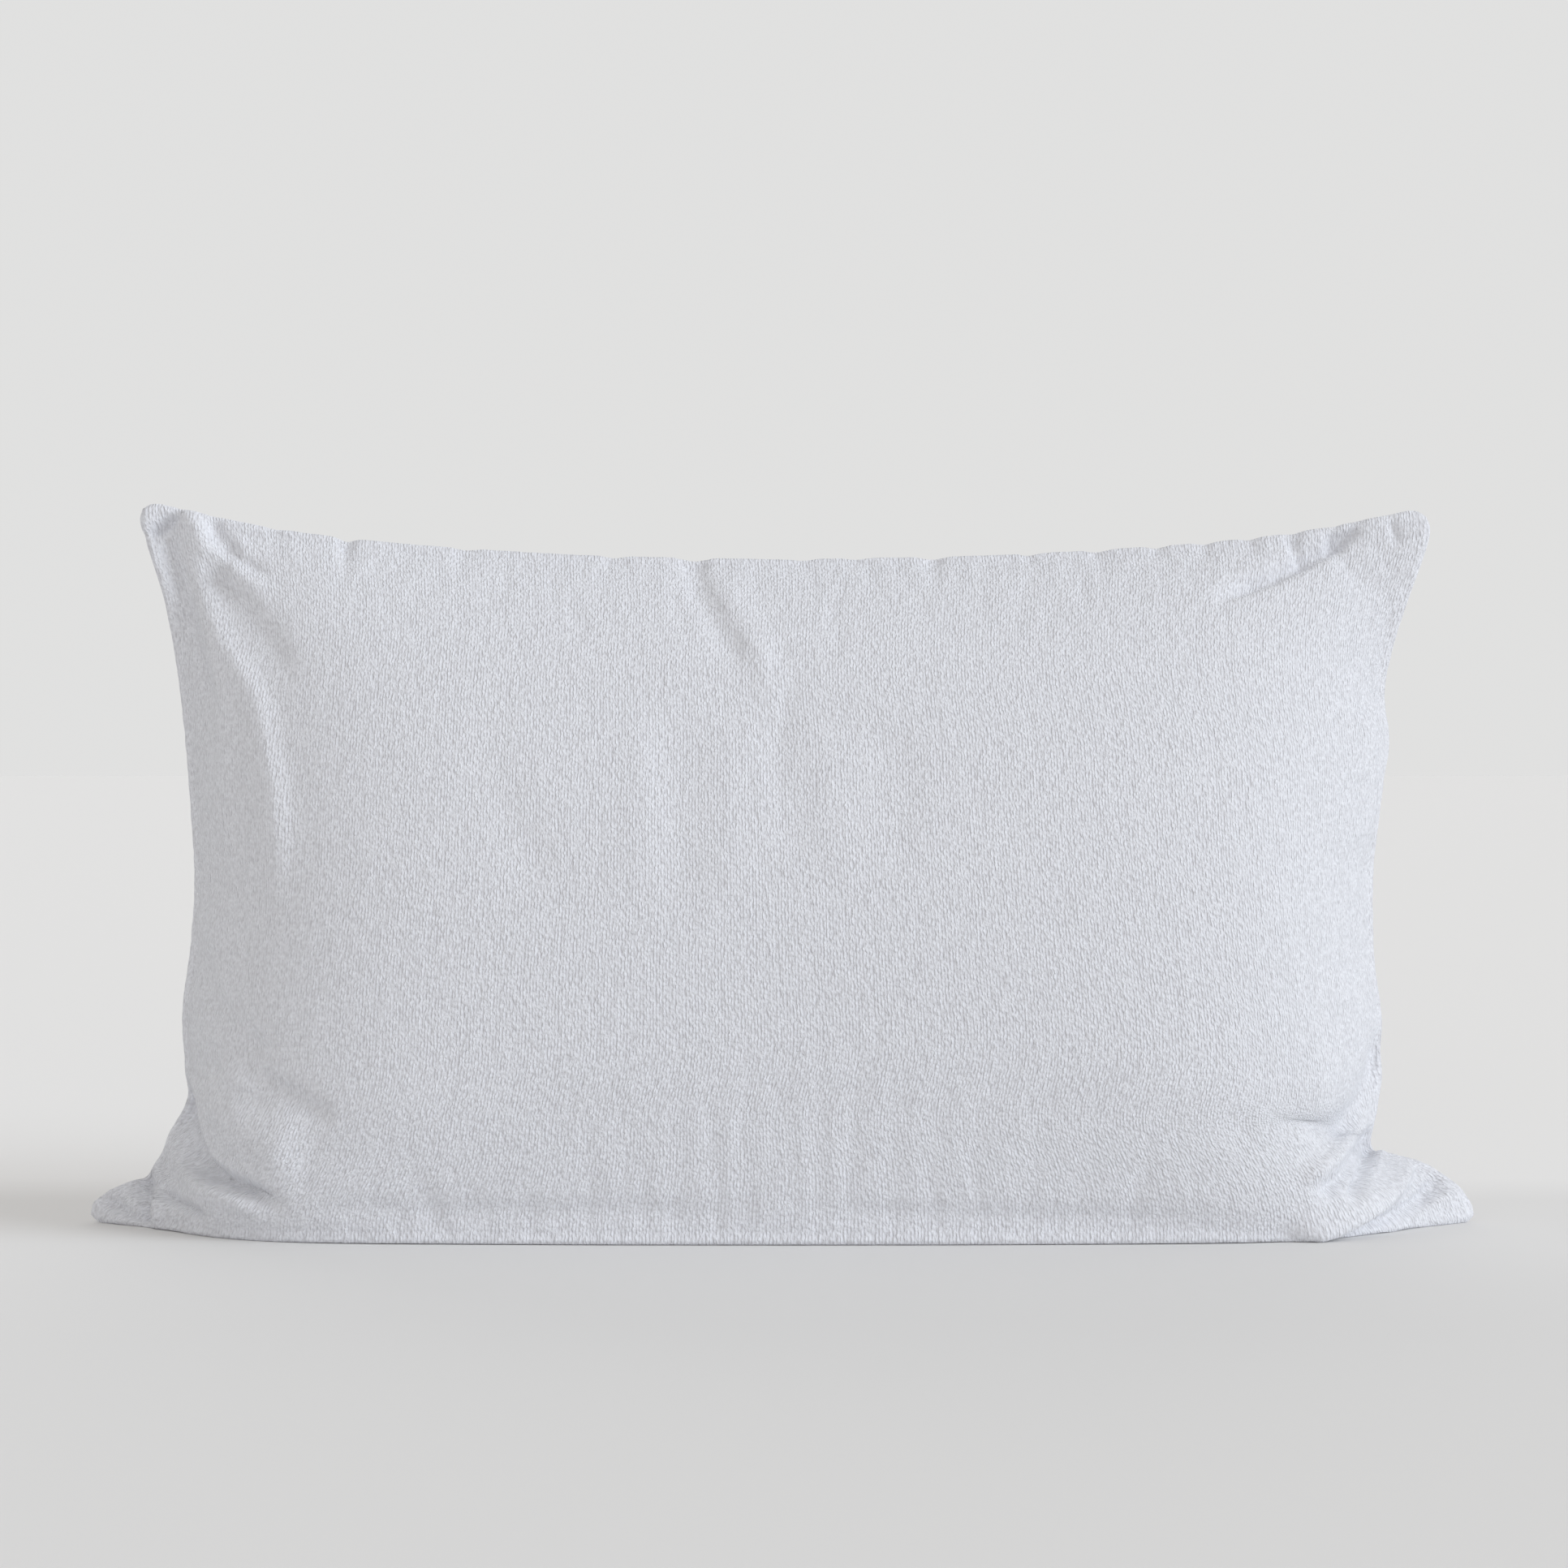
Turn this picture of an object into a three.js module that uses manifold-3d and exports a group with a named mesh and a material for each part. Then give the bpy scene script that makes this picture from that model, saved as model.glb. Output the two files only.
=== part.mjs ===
// Bed pillow: a fibre-filled inner pillow inside a zipped terry case, standing on its long bottom edge.
// Millimetres. +X runs along the pillow, the front panel faces -Y and +Z is up.
import * as THREE from "three";
import Module from "manifold-3d";

const wasm = await Module();
wasm.setup();

// Driving dimensions: the case laid flat, its cloths, and the filled shape.
const CASE_LENGTH = 914;
const CASE_WIDTH = 508;
const TERRY = 2.2;
const TICKING = 0.8;
const CLEARANCE = 0.3;
const HALF_THICKNESS = 90;
const INNER_PILLOW_INSET = 28;
const CASE_SLACK = 8;

// The ears: the stretch at each corner that holds no filling, measured from its tip.
const EAR_FLAT = 25;
const EAR_FULL = 135;
const EAR_HOLLOW = 2.6;
const TICKING_HOLLOW = 1.6;

// The zip, in its own frame: x along the chain, y across it, z out of the case, 0 on the cloth's face.
const ZIP_BELOW_TOP_SEAM = 62;
const ZIP_LEAN = THREE.MathUtils.degToRad(9);
const ZIP_OPENING_HALF = 5;
const ZIP_OPENING_END = 292;
const ZIP_SEWN_SHUT_FROM = 300;
const SEWN_GAP_HALF = 0.4;
const ZIP_X_PER_U = 400;
const TAPE_HALF_LENGTH = 288;
const TAPE_THICKNESS = 0.6;
const TAPE_OUTER = 14;
const COIL_HALF_LENGTH = 268;
const COIL_INNER = 0.6;
const COIL_OUTER = 3;
const COIL_HEIGHT = 1.8;
const STOP_LENGTH = 4;
const SLIDER_LENGTH = 11;
const SLIDER_TRAVEL = 524;
const SLIDER_HALF_WIDTH = 4.3;
const SLIDER_PLATE = 1;
const PULL_LENGTH = 25;
const PULL_THICKNESS = 1.2;

const COLOURS = {
  terry: 0xe4e5ea,
  ticking: 0xf0efea,
  filling: 0xf7f7f5,
  seam: 0xdcdde2,
  tape: 0xe9e9ec,
  coil: 0xf2f2f2,
  metal: 0xc9cacc,
  label: 0xf6f6f4,
};

const ROOT = new THREE.Group();

function material(colour, roughness = 0.9, metalness = 0) {
  return new THREE.MeshStandardMaterial({ color: colour, roughness, metalness });
}

function addMesh(parent, name, geometry, surface) {
  const mesh = new THREE.Mesh(geometry, surface);
  mesh.name = name;
  parent.add(mesh);
  return mesh;
}

// ---- The seam loop and the sheet half way between the two panels ----

// Right-hand halves of the seams, mirrored for the left: from the middle out to the corner's tip.
const BOTTOM_SEAM = curveThrough([
  [0, -80, 4.6], [150, -77, 4.6], [300, -64, 4.6], [392, -20, 4.6], [447, 14, 4.6],
]);
const TOP_SEAM = curveThrough([
  [0, 40, 425], [150, 40, 429], [300, 43, 442], [408, 50, 464],
]);
// From the bottom corner's tip up to the top corner's.
const SIDE_SEAM = curveThrough([
  [447, 14, 4.6], [407, 10, 20], [386, 8, 62], [377, 10, 125], [374, 18, 235], [383, 34, 350], [408, 50, 464],
]);
// The middle of the filling, seen from the end, from the bottom seam to the top seam.
const MIDDLE_LINE = curveThrough([
  [0, -80, 4.6], [0, -50, 16], [0, -20, 46], [0, -3, 97], [0, 0, 172], [0, 6, 280], [0, 22, 366], [0, 40, 425],
]);

function curveThrough(points) {
  return new THREE.CatmullRomCurve3(points.map((p) => new THREE.Vector3(...p)));
}

function mirrored(curve, u) {
  const point = curve.getPointAt(Math.min(Math.abs(u), 1));
  point.x *= Math.sign(u);
  return point;
}

function ruledPoint(u, v) {
  return mirrored(BOTTOM_SEAM, u).lerp(mirrored(TOP_SEAM, u), v);
}

// u runs from -1 at the left seam to 1 at the right, v from 0 at the bottom seam to 1 at the top.
function midPoint(u, v) {
  const middle = 1 - Math.abs(u) ** 2.5;
  const side = SIDE_SEAM.getPointAt(v).sub(ruledPoint(1, v));
  const lift = MIDDLE_LINE.getPointAt(v).sub(ruledPoint(0, v));
  const point = ruledPoint(u, v).addScaledVector(lift, middle);
  point.x += u * side.x;
  point.y += (1 - middle) * side.y;
  point.z += (1 - middle) * side.z;
  return point;
}

// The unit normal of the middle sheet, towards the front panel.
function midNormal(u, v) {
  const step = 0.004;
  const uc = THREE.MathUtils.clamp(u, -1 + step, 1 - step);
  const vc = THREE.MathUtils.clamp(v, step, 1 - step);
  const along = midPoint(uc + step, vc).sub(midPoint(uc - step, vc));
  const up = midPoint(uc, vc + step).sub(midPoint(uc, vc - step));
  return along.cross(up).normalize();
}

// Share of the full half thickness at s, t: fullest low down, thin at the seams and none in the ears.
function fullness(s, t) {
  const across = Math.max(0, 1 - Math.abs(s) ** 3) ** 0.6;
  const upward = 2.313 * t ** 0.45 * Math.max(0, 1 - t) ** 0.85;
  const fromSide = (1 - Math.abs(s)) * (CASE_LENGTH / 2);
  const fromEdge = Math.min(t, 1 - t) * CASE_WIDTH;
  const ear = THREE.MathUtils.smoothstep(Math.hypot(fromSide, fromEdge), EAR_FLAT, EAR_FULL);
  return across * upward * ear;
}

// ---- Nested layers: each is the same shape, drawn in from the seams and thinned ----

const LAYERS = {
  caseOutside: { inset: 0, thinner: 0, floor: 0, sheet: EAR_HOLLOW + TERRY + 0.05 },
  caseInside: { inset: TERRY, thinner: TERRY, floor: TERRY, sheet: EAR_HOLLOW },
  tickingOutside: {
    inset: INNER_PILLOW_INSET,
    thinner: CASE_SLACK,
    floor: TERRY + 0.8,
    sheet: TICKING_HOLLOW + TICKING + 0.05,
  },
  tickingInside: {
    inset: INNER_PILLOW_INSET + TICKING,
    thinner: CASE_SLACK + TICKING,
    floor: TERRY + 0.8 + TICKING,
    sheet: TICKING_HOLLOW,
  },
  filling: {
    inset: INNER_PILLOW_INSET + 13,
    thinner: CASE_SLACK + TICKING + 4,
    floor: TERRY + 0.8 + TICKING + 2.2,
    sheet: 0,
  },
};
const FRONT = 1;
const BACK = -1;

const ZIP_V = 1 - ZIP_BELOW_TOP_SEAM / CASE_WIDTH;
const ZIP_UP = new THREE.Vector3(0, -Math.sin(ZIP_LEAN), Math.cos(ZIP_LEAN));
const ZIP_OUT = new THREE.Vector3(0, Math.cos(ZIP_LEAN), Math.sin(ZIP_LEAN));

function puffedPoint(layer, side, s, t) {
  const u = s * (1 - layer.inset / (CASE_LENGTH / 2));
  const v = (layer.inset + t * (CASE_WIDTH - 2 * layer.inset)) / CASE_WIDTH;
  const onSeam = Math.abs(s) === 1 || t === 0 || t === 1;
  const half = CLEARANCE / 2 + (onSeam ? 0 : layer.sheet) + (HALF_THICKNESS - layer.thinner) * fullness(s, t);
  const point = midPoint(u, v).addScaledVector(midNormal(u, v), side * half);
  point.z = Math.max(point.z, layer.floor);
  return { point, u, v };
}

const ZIP_CENTRE = puffedPoint(LAYERS.caseOutside, BACK, 0, ZIP_V).point;

// The back of the case runs straight and flat beside the zip, and the cloth eases back to its own shape.
function layerPoint(layer, side, s, t) {
  const { point, u, v } = puffedPoint(layer, side, s, t);
  const onCase = layer === LAYERS.caseOutside || layer === LAYERS.caseInside;
  if (side === FRONT || !onCase) {
    return point;
  }
  const across = (v - ZIP_V) * CASE_WIDTH;
  const flat = new THREE.Vector3(u * ZIP_X_PER_U, ZIP_CENTRE.y, ZIP_CENTRE.z)
    .addScaledVector(ZIP_UP, across)
    .addScaledVector(ZIP_OUT, -layer.thinner);
  const beside = 1 - THREE.MathUtils.smoothstep(Math.abs(across), 18, ZIP_BELOW_TOP_SEAM - 1);
  const along = 1 - THREE.MathUtils.smoothstep(Math.abs(u) * ZIP_X_PER_U, ZIP_SEWN_SHUT_FROM + 12, 372);
  return point.lerp(flat, beside * along);
}

const mirroredColumns = (half) => [...half.map((u) => -u).reverse(), 0, ...half];
const CASE_COLUMNS = mirroredColumns([0.11, 0.22, 0.33, 0.44, 0.55, 0.65, ZIP_OPENING_END / ZIP_X_PER_U,
  ZIP_SEWN_SHUT_FROM / ZIP_X_PER_U, 0.81, 0.865, 0.915, 0.955, 0.985, 1]);
const BESIDE_ZIP = 18 / CASE_WIDTH;
const ROWS_BELOW_ZIP = [0, 0.012, 0.035, 0.07, 0.115, 0.17, 0.235, 0.305, 0.38, 0.455, 0.53, 0.605, 0.68, 0.76,
  ZIP_V - BESIDE_ZIP];
const ROWS_ABOVE_ZIP = [ZIP_V + BESIDE_ZIP, 0.94, 0.97, 0.99, 1];
const INNER_COLUMNS = mirroredColumns([0.13, 0.26, 0.39, 0.52, 0.64, 0.75, 0.84, 0.91, 0.96, 1]);
const INNER_ROWS = [0, 0.015, 0.045, 0.09, 0.14, 0.2, 0.28, 0.37, 0.46, 0.55, 0.64, 0.73, 0.81, 0.88, 0.94, 0.98, 1];

// Half the gap between the two back panels: open along the zip, sewn shut beyond its ends.
function zipGapHalf(u) {
  return Math.abs(u) * ZIP_X_PER_U <= ZIP_OPENING_END + 0.01 ? ZIP_OPENING_HALF : SEWN_GAP_HALF;
}

// The row of a layer that lies at a given v of the case laid flat.
function rowAt(layer, v) {
  return (v * CASE_WIDTH - layer.inset) / (CASE_WIDTH - 2 * layer.inset);
}

const lowerEdge = (layer, s) => rowAt(layer, ZIP_V - zipGapHalf(s) / CASE_WIDTH);
const upperEdge = (layer, s) => rowAt(layer, ZIP_V + zipGapHalf(s) / CASE_WIDTH);

// A row is a number, or a function where it follows the zip's opening.
function layerGrid(layer, side, columns, rows) {
  const rowOf = (row, s) => (typeof row === "function" ? row(layer, s) : row);
  return rows.map((row) => columns.map((s) => layerPoint(layer, side, s, rowOf(row, s))));
}

// A closed sheet between two grids of the same size: near faces the front, far faces the back.
function closedSheet(near, far) {
  const rows = near.length;
  const columns = near[0].length;
  const vertices = [...near.flat(), ...far.flat()];
  const nearAt = (j, i) => j * columns + i;
  const farAt = (j, i) => rows * columns + j * columns + i;
  const faces = [];
  const quad = (a, b, c, d) => faces.push(a, b, c, a, c, d);
  for (let j = 0; j + 1 < rows; j += 1) {
    for (let i = 0; i + 1 < columns; i += 1) {
      quad(nearAt(j, i), nearAt(j, i + 1), nearAt(j + 1, i + 1), nearAt(j + 1, i));
      quad(farAt(j, i), farAt(j + 1, i), farAt(j + 1, i + 1), farAt(j, i + 1));
    }
  }
  for (let i = 0; i + 1 < columns; i += 1) {
    quad(nearAt(0, i), farAt(0, i), farAt(0, i + 1), nearAt(0, i + 1));
    quad(nearAt(rows - 1, i + 1), farAt(rows - 1, i + 1), farAt(rows - 1, i), nearAt(rows - 1, i));
  }
  for (let j = 0; j + 1 < rows; j += 1) {
    quad(nearAt(j + 1, 0), farAt(j + 1, 0), farAt(j, 0), nearAt(j, 0));
    quad(nearAt(j, columns - 1), farAt(j, columns - 1), farAt(j + 1, columns - 1), nearAt(j + 1, columns - 1));
  }
  return geometryFrom(vertices, faces);
}

function geometryFrom(vertices, faces) {
  const geometry = new THREE.BufferGeometry();
  geometry.setAttribute("position", new THREE.Float32BufferAttribute(vertices.flatMap((p) => p.toArray()), 3));
  geometry.setIndex(faces);
  return geometry;
}

function solidFrom(geometry) {
  const merged = new Map();
  const vertices = [];
  const index = [];
  const place = geometry.getAttribute("position");
  const order = geometry.index ? [...geometry.index.array] : [...Array(place.count).keys()];
  for (const i of order) {
    const at = [place.getX(i), place.getY(i), place.getZ(i)];
    const key = at.map((n) => n.toFixed(4)).join();
    if (!merged.has(key)) {
      merged.set(key, vertices.length / 3);
      vertices.push(...at);
    }
    index.push(merged.get(key));
  }
  const mesh = { numProp: 3, vertProperties: new Float32Array(vertices), triVerts: new Uint32Array(index) };
  return new wasm.Manifold(new wasm.Mesh(mesh));
}

function geometryOf(solid) {
  const mesh = solid.getMesh();
  const geometry = new THREE.BufferGeometry();
  geometry.setAttribute("position", new THREE.BufferAttribute(mesh.vertProperties, 3));
  geometry.setIndex(new THREE.BufferAttribute(mesh.triVerts, 1));
  return geometry;
}

// ---- Inner pillow ----

function addFilling() {
  const front = layerGrid(LAYERS.filling, FRONT, INNER_COLUMNS, INNER_ROWS);
  const back = layerGrid(LAYERS.filling, BACK, INNER_COLUMNS, INNER_ROWS);
  addMesh(ROOT, "fibre_fill", closedSheet(front, back), material(COLOURS.filling, 1));
}

function tickingGrid(layer, side) {
  return layerGrid(layer, side, INNER_COLUMNS, INNER_ROWS);
}

function addTicking() {
  const cloth = material(COLOURS.ticking, 0.85);
  const { tickingOutside, tickingInside } = LAYERS;
  const front = closedSheet(tickingGrid(tickingOutside, FRONT), tickingGrid(tickingInside, FRONT));
  const back = closedSheet(tickingGrid(tickingInside, BACK), tickingGrid(tickingOutside, BACK));
  addMesh(ROOT, "ticking_front", front, cloth);
  addMesh(ROOT, "ticking_back", back, cloth);
}

// A corded edge round the inner pillow, just outside its seam: a run along each side, joined at the corners.
const PIPING_RADIUS = 1.5;
const PIPING_INSET = INNER_PILLOW_INSET - 7;

function pipingRun([u0, v0], [u1, v1], steps) {
  const past = 1.5 / CASE_LENGTH;
  const places = Array.from({ length: steps + 1 }, (_, k) => k / steps + (k === 0 ? -past : 0) + (k === steps ? past : 0));
  const points = places.map((f) => midPoint(u0 + (u1 - u0) * f, v0 + (v1 - v0) * f));
  const section = new THREE.Shape();
  section.absarc(0, 0, PIPING_RADIUS, 0, 2 * Math.PI);
  const extrudePath = new THREE.CatmullRomCurve3(points);
  return new THREE.ExtrudeGeometry(section, { steps, extrudePath, curveSegments: 3 });
}

function addTickingPiping() {
  const u = 1 - PIPING_INSET / (CASE_LENGTH / 2);
  const v = PIPING_INSET / CASE_WIDTH;
  const runs = [
    pipingRun([-u, v], [u, v], 26),
    pipingRun([u, v], [u, 1 - v], 16),
    pipingRun([u, 1 - v], [-u, 1 - v], 26),
    pipingRun([-u, 1 - v], [-u, v], 16),
  ];
  const loop = runs.map(solidFrom).reduce((joined, run) => joined.add(run));
  addMesh(ROOT, "ticking_piping", geometryOf(loop), material(COLOURS.ticking, 0.85));
}

// A blank label lying on one face of a grid, a little proud of it.
function labelOnCell(grid, j, i, side, thickness) {
  const corners = [grid[j][i], grid[j][i + 1], grid[j + 1][i + 1], grid[j + 1][i]];
  const across = corners[1].clone().sub(corners[0]);
  const up = corners[3].clone().sub(corners[0]);
  const out = across.cross(up).normalize().multiplyScalar(side);
  const lifted = (height) => corners.map((p) => p.clone().addScaledVector(out, height));
  const rows = ([a, b, c, d]) => [[a, b], [d, c]];
  const under = rows(lifted(CLEARANCE + 0.1));
  const top = rows(lifted(CLEARANCE + 0.1 + thickness));
  return side === FRONT ? closedSheet(top, under) : closedSheet(under, top);
}

function addTickingLabel() {
  const grid = tickingGrid(LAYERS.tickingOutside, BACK);
  const geometry = labelOnCell(grid, 5, 15, BACK, 0.5);
  addMesh(ROOT, "ticking_care_label", geometry, material(COLOURS.label, 0.6));
}

// ---- Terry case ----

function caseGrid(layer, side, rows) {
  return layerGrid(layer, side, CASE_COLUMNS, rows);
}

function backPanel(rows) {
  return closedSheet(caseGrid(LAYERS.caseInside, BACK, rows), caseGrid(LAYERS.caseOutside, BACK, rows));
}

function addCasePanels() {
  const terry = material(COLOURS.terry, 0.95);
  const rows = [...ROWS_BELOW_ZIP, ZIP_V, ...ROWS_ABOVE_ZIP];
  const front = closedSheet(caseGrid(LAYERS.caseOutside, FRONT, rows), caseGrid(LAYERS.caseInside, FRONT, rows));
  addMesh(ROOT, "case_front_panel", front, terry);
  addMesh(ROOT, "case_back_panel_lower", backPanel([...ROWS_BELOW_ZIP, lowerEdge]), terry);
  addMesh(ROOT, "case_back_panel_upper", backPanel([upperEdge, ...ROWS_ABOVE_ZIP]), terry);
}

// The overlocked edges of the panels, turned inside the case: a flat strip along each seam.
const ALLOWANCE_FROM = 6;
const ALLOWANCE_TO = 14;
const ALLOWANCE_HALF = 0.9;

function seamStrip(placeAt, from, to, steps) {
  const near = [];
  const far = [];
  for (const depth of [ALLOWANCE_FROM, ALLOWANCE_TO]) {
    const places = Array.from({ length: steps + 1 }, (_, k) => placeAt(from + ((to - from) * k) / steps, depth));
    near.push(places.map(([u, v]) => midPoint(u, v).addScaledVector(midNormal(u, v), ALLOWANCE_HALF)));
    far.push(places.map(([u, v]) => midPoint(u, v).addScaledVector(midNormal(u, v), -ALLOWANCE_HALF)));
  }
  return { near, far };
}

function addSeamAllowances() {
  const thread = material(COLOURS.seam, 0.95);
  const along = CASE_LENGTH / 2;
  const strips = {
    case_bottom_seam: seamStrip((s, d) => [s, d / CASE_WIDTH], -0.93, 0.93, 22),
    case_top_seam: seamStrip((s, d) => [-s, 1 - d / CASE_WIDTH], -0.93, 0.93, 22),
    case_right_seam: seamStrip((t, d) => [1 - d / along, t], 0.09, 0.91, 16),
    case_left_seam: seamStrip((t, d) => [-1 + d / along, 1 - t], 0.09, 0.91, 16),
  };
  for (const [name, { near, far }] of Object.entries(strips)) {
    addMesh(ROOT, name, closedSheet(near, far), thread);
  }
}

function addCaseLabel() {
  const rows = [...ROWS_BELOW_ZIP, lowerEdge];
  const grid = caseGrid(LAYERS.caseOutside, BACK, rows);
  addMesh(ROOT, "case_care_label", labelOnCell(grid, 7, 3, BACK, 0.6), material(COLOURS.label, 0.6));
}

// ---- Zip: built in its own frame, then laid in the back of the case ----

const TAPE_TOP = -TERRY - CLEARANCE;
const COIL_BOTTOM = TAPE_TOP + CLEARANCE;
const COIL_TOP = COIL_BOTTOM + COIL_HEIGHT;
const CLOSED_END = -SLIDER_TRAVEL / 2;

const zip = new THREE.Group();
zip.position.copy(ZIP_CENTRE);
zip.quaternion.setFromRotationMatrix(
  new THREE.Matrix4().makeBasis(new THREE.Vector3(-1, 0, 0), ZIP_UP, ZIP_OUT),
);
ROOT.add(zip);

// A box from its low corner to its high corner.
function block([x0, y0, z0], [x1, y1, z1]) {
  const geometry = new THREE.BoxGeometry(x1 - x0, y1 - y0, z1 - z0);
  return geometry.translate((x0 + x1) / 2, (y0 + y1) / 2, (z0 + z1) / 2);
}

// The same box on the upper (way 1) or the lower (way -1) side of the chain.
function sideBlock(way, [x0, y0, z0], [x1, y1, z1]) {
  return way > 0 ? block([x0, y0, z0], [x1, y1, z1]) : block([x0, -y1, z0], [x1, -y0, z1]);
}

function addTapesAndCoils() {
  const tape = material(COLOURS.tape, 0.8);
  const nylon = material(COLOURS.coil, 0.4);
  const thread = material(COLOURS.seam, 0.7);
  const stitchRow = ZIP_OPENING_HALF + 3;
  for (const [label, way] of [["upper", 1], ["lower", -1]]) {
    const tapeBox = sideBlock(way,
      [-TAPE_HALF_LENGTH, COIL_INNER + CLEARANCE, TAPE_TOP - TAPE_THICKNESS],
      [TAPE_HALF_LENGTH, TAPE_OUTER, TAPE_TOP]);
    const coilBox = sideBlock(way,
      [-COIL_HALF_LENGTH, COIL_INNER, COIL_BOTTOM],
      [COIL_HALF_LENGTH, COIL_OUTER, COIL_TOP]);
    const stitchBox = sideBlock(way,
      [-TAPE_HALF_LENGTH, stitchRow - 0.4, CLEARANCE],
      [TAPE_HALF_LENGTH, stitchRow + 0.4, CLEARANCE + 0.5]);
    const stopBox = sideBlock(way,
      [-COIL_HALF_LENGTH - CLEARANCE - STOP_LENGTH, COIL_INNER, COIL_BOTTOM],
      [-COIL_HALF_LENGTH - CLEARANCE, COIL_OUTER + 0.2, COIL_TOP + 0.3]);
    addMesh(zip, `zip_tape_${label}`, tapeBox, tape);
    addMesh(zip, `zip_coil_${label}`, coilBox, nylon);
    addMesh(zip, `zip_topstitch_${label}`, stitchBox, thread);
    addMesh(zip, `zip_top_stop_${label}`, stopBox, material(COLOURS.metal, 0.3, 1));
  }
}

function addBottomStop() {
  const start = COIL_HALF_LENGTH + CLEARANCE;
  const half = COIL_OUTER + 0.2;
  const box = block([start, -half, COIL_BOTTOM], [start + STOP_LENGTH, half, COIL_TOP + 0.3]);
  addMesh(zip, "zip_bottom_stop", box, material(COLOURS.metal, 0.3, 1));
}

// A shape drawn in x (along the chain) and z (out of the case), as thick as width, about y = 0.
function extrudedAcross(shape, width) {
  const geometry = new THREE.ExtrudeGeometry(shape, { depth: width, bevelEnabled: false, curveSegments: 6 });
  return geometry.translate(0, 0, -width / 2).rotateX(Math.PI / 2);
}

const BRIDGE_HALF_LENGTH = 4;
const BRIDGE_OPENING_HALF = 2.5;
const BRIDGE_RISE = 3.2;
const BRIDGE_OPENING_RISE = 2.2;
const SLIDER_TOP = COIL_TOP + CLEARANCE + SLIDER_PLATE;
const PIVOT_Z = SLIDER_TOP + BRIDGE_OPENING_RISE / 2;

// The arch on the slider that the pull swings in, drawn from the slider's middle.
function bridgeShape() {
  const shape = new THREE.Shape();
  const base = SLIDER_TOP - 0.4;
  shape.moveTo(-BRIDGE_HALF_LENGTH, base);
  shape.lineTo(-BRIDGE_OPENING_HALF, base);
  shape.lineTo(-BRIDGE_OPENING_HALF, SLIDER_TOP + BRIDGE_OPENING_RISE);
  shape.lineTo(BRIDGE_OPENING_HALF, SLIDER_TOP + BRIDGE_OPENING_RISE);
  shape.lineTo(BRIDGE_OPENING_HALF, base);
  shape.lineTo(BRIDGE_HALF_LENGTH, base);
  shape.lineTo(BRIDGE_HALF_LENGTH, SLIDER_TOP + BRIDGE_RISE - 1);
  shape.lineTo(BRIDGE_HALF_LENGTH - 1, SLIDER_TOP + BRIDGE_RISE);
  shape.lineTo(-BRIDGE_HALF_LENGTH + 1, SLIDER_TOP + BRIDGE_RISE);
  shape.lineTo(-BRIDGE_HALF_LENGTH, SLIDER_TOP + BRIDGE_RISE - 1);
  shape.closePath();
  return shape;
}

// Two plates joined by the web that parts the chain, with flanges that keep the coils in.
function addSlider() {
  const half = SLIDER_LENGTH / 2;
  const wide = SLIDER_HALF_WIDTH;
  const topUnder = SLIDER_TOP - SLIDER_PLATE;
  const tapeBottom = TAPE_TOP - TAPE_THICKNESS;
  const bottomTop = tapeBottom - 0.4;
  const flange = 0.9;
  const web = 0.4;
  const pieces = [
    block([-half, -wide, topUnder], [half, wide, SLIDER_TOP]),
    block([-half, -wide, bottomTop - SLIDER_PLATE], [half, wide, bottomTop]),
    block([-half, -web, bottomTop - 0.2], [half, web, topUnder + 0.2]),
    sideBlock(1, [-half, wide - flange, TAPE_TOP + 0.4], [half, wide, topUnder + 0.2]),
    sideBlock(-1, [-half, wide - flange, TAPE_TOP + 0.4], [half, wide, topUnder + 0.2]),
    extrudedAcross(bridgeShape(), 2),
  ];
  const solid = pieces.map(solidFrom).reduce((joined, piece) => joined.add(piece));
  const slider = addMesh(zip, "zip_slider", geometryOf(solid), material(COLOURS.metal, 0.3, 1));
  slider.position.x = CLOSED_END;
}

// The pull: a bar through the bridge, an eye round it and a tab, drawn in x and y from the pivot.
function addPull() {
  const outline = new THREE.Shape();
  outline.moveTo(0.6, -2.8);
  outline.lineTo(0.6, 2.8);
  outline.lineTo(-7, 2.8);
  outline.lineTo(-PULL_LENGTH + 3, 2.4);
  outline.absarc(-PULL_LENGTH + 3, 0, 2.4, Math.PI / 2, (3 * Math.PI) / 2);
  outline.lineTo(-7, -2.8);
  outline.closePath();
  const eye = new THREE.Path();
  eye.moveTo(-0.6, -1.6);
  eye.lineTo(-5.2, -1.6);
  eye.lineTo(-5.2, 1.6);
  eye.lineTo(-0.6, 1.6);
  eye.closePath();
  const hole = new THREE.Path();
  hole.absarc(-PULL_LENGTH + 3.2, 0, 1, 0, 2 * Math.PI);
  outline.holes.push(eye, hole);
  const options = { depth: PULL_THICKNESS, bevelEnabled: false, curveSegments: 8 };
  const geometry = new THREE.ExtrudeGeometry(outline, options).translate(0, 0, -PULL_THICKNESS / 2);
  const pull = addMesh(zip, "zip_pull", geometry, material(COLOURS.metal, 0.3, 1));
  pull.position.set(CLOSED_END, 0, PIVOT_Z);
}

addFilling();
addTicking();
addTickingPiping();
addTickingLabel();
addCasePanels();
addSeamAllowances();
addCaseLabel();
addTapesAndCoils();
addBottomStop();
addSlider();
addPull();

// The origin is on the floor, under the middle of the whole pillow.
const box = new THREE.Box3().setFromObject(ROOT);
ROOT.position.y = -(box.min.y + box.max.y) / 2;

export default ROOT;
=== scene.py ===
"""A bed pillow in a zipped terry cover, standing on its long edge. Lengths are mm until a mesh is made."""
import math

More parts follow.
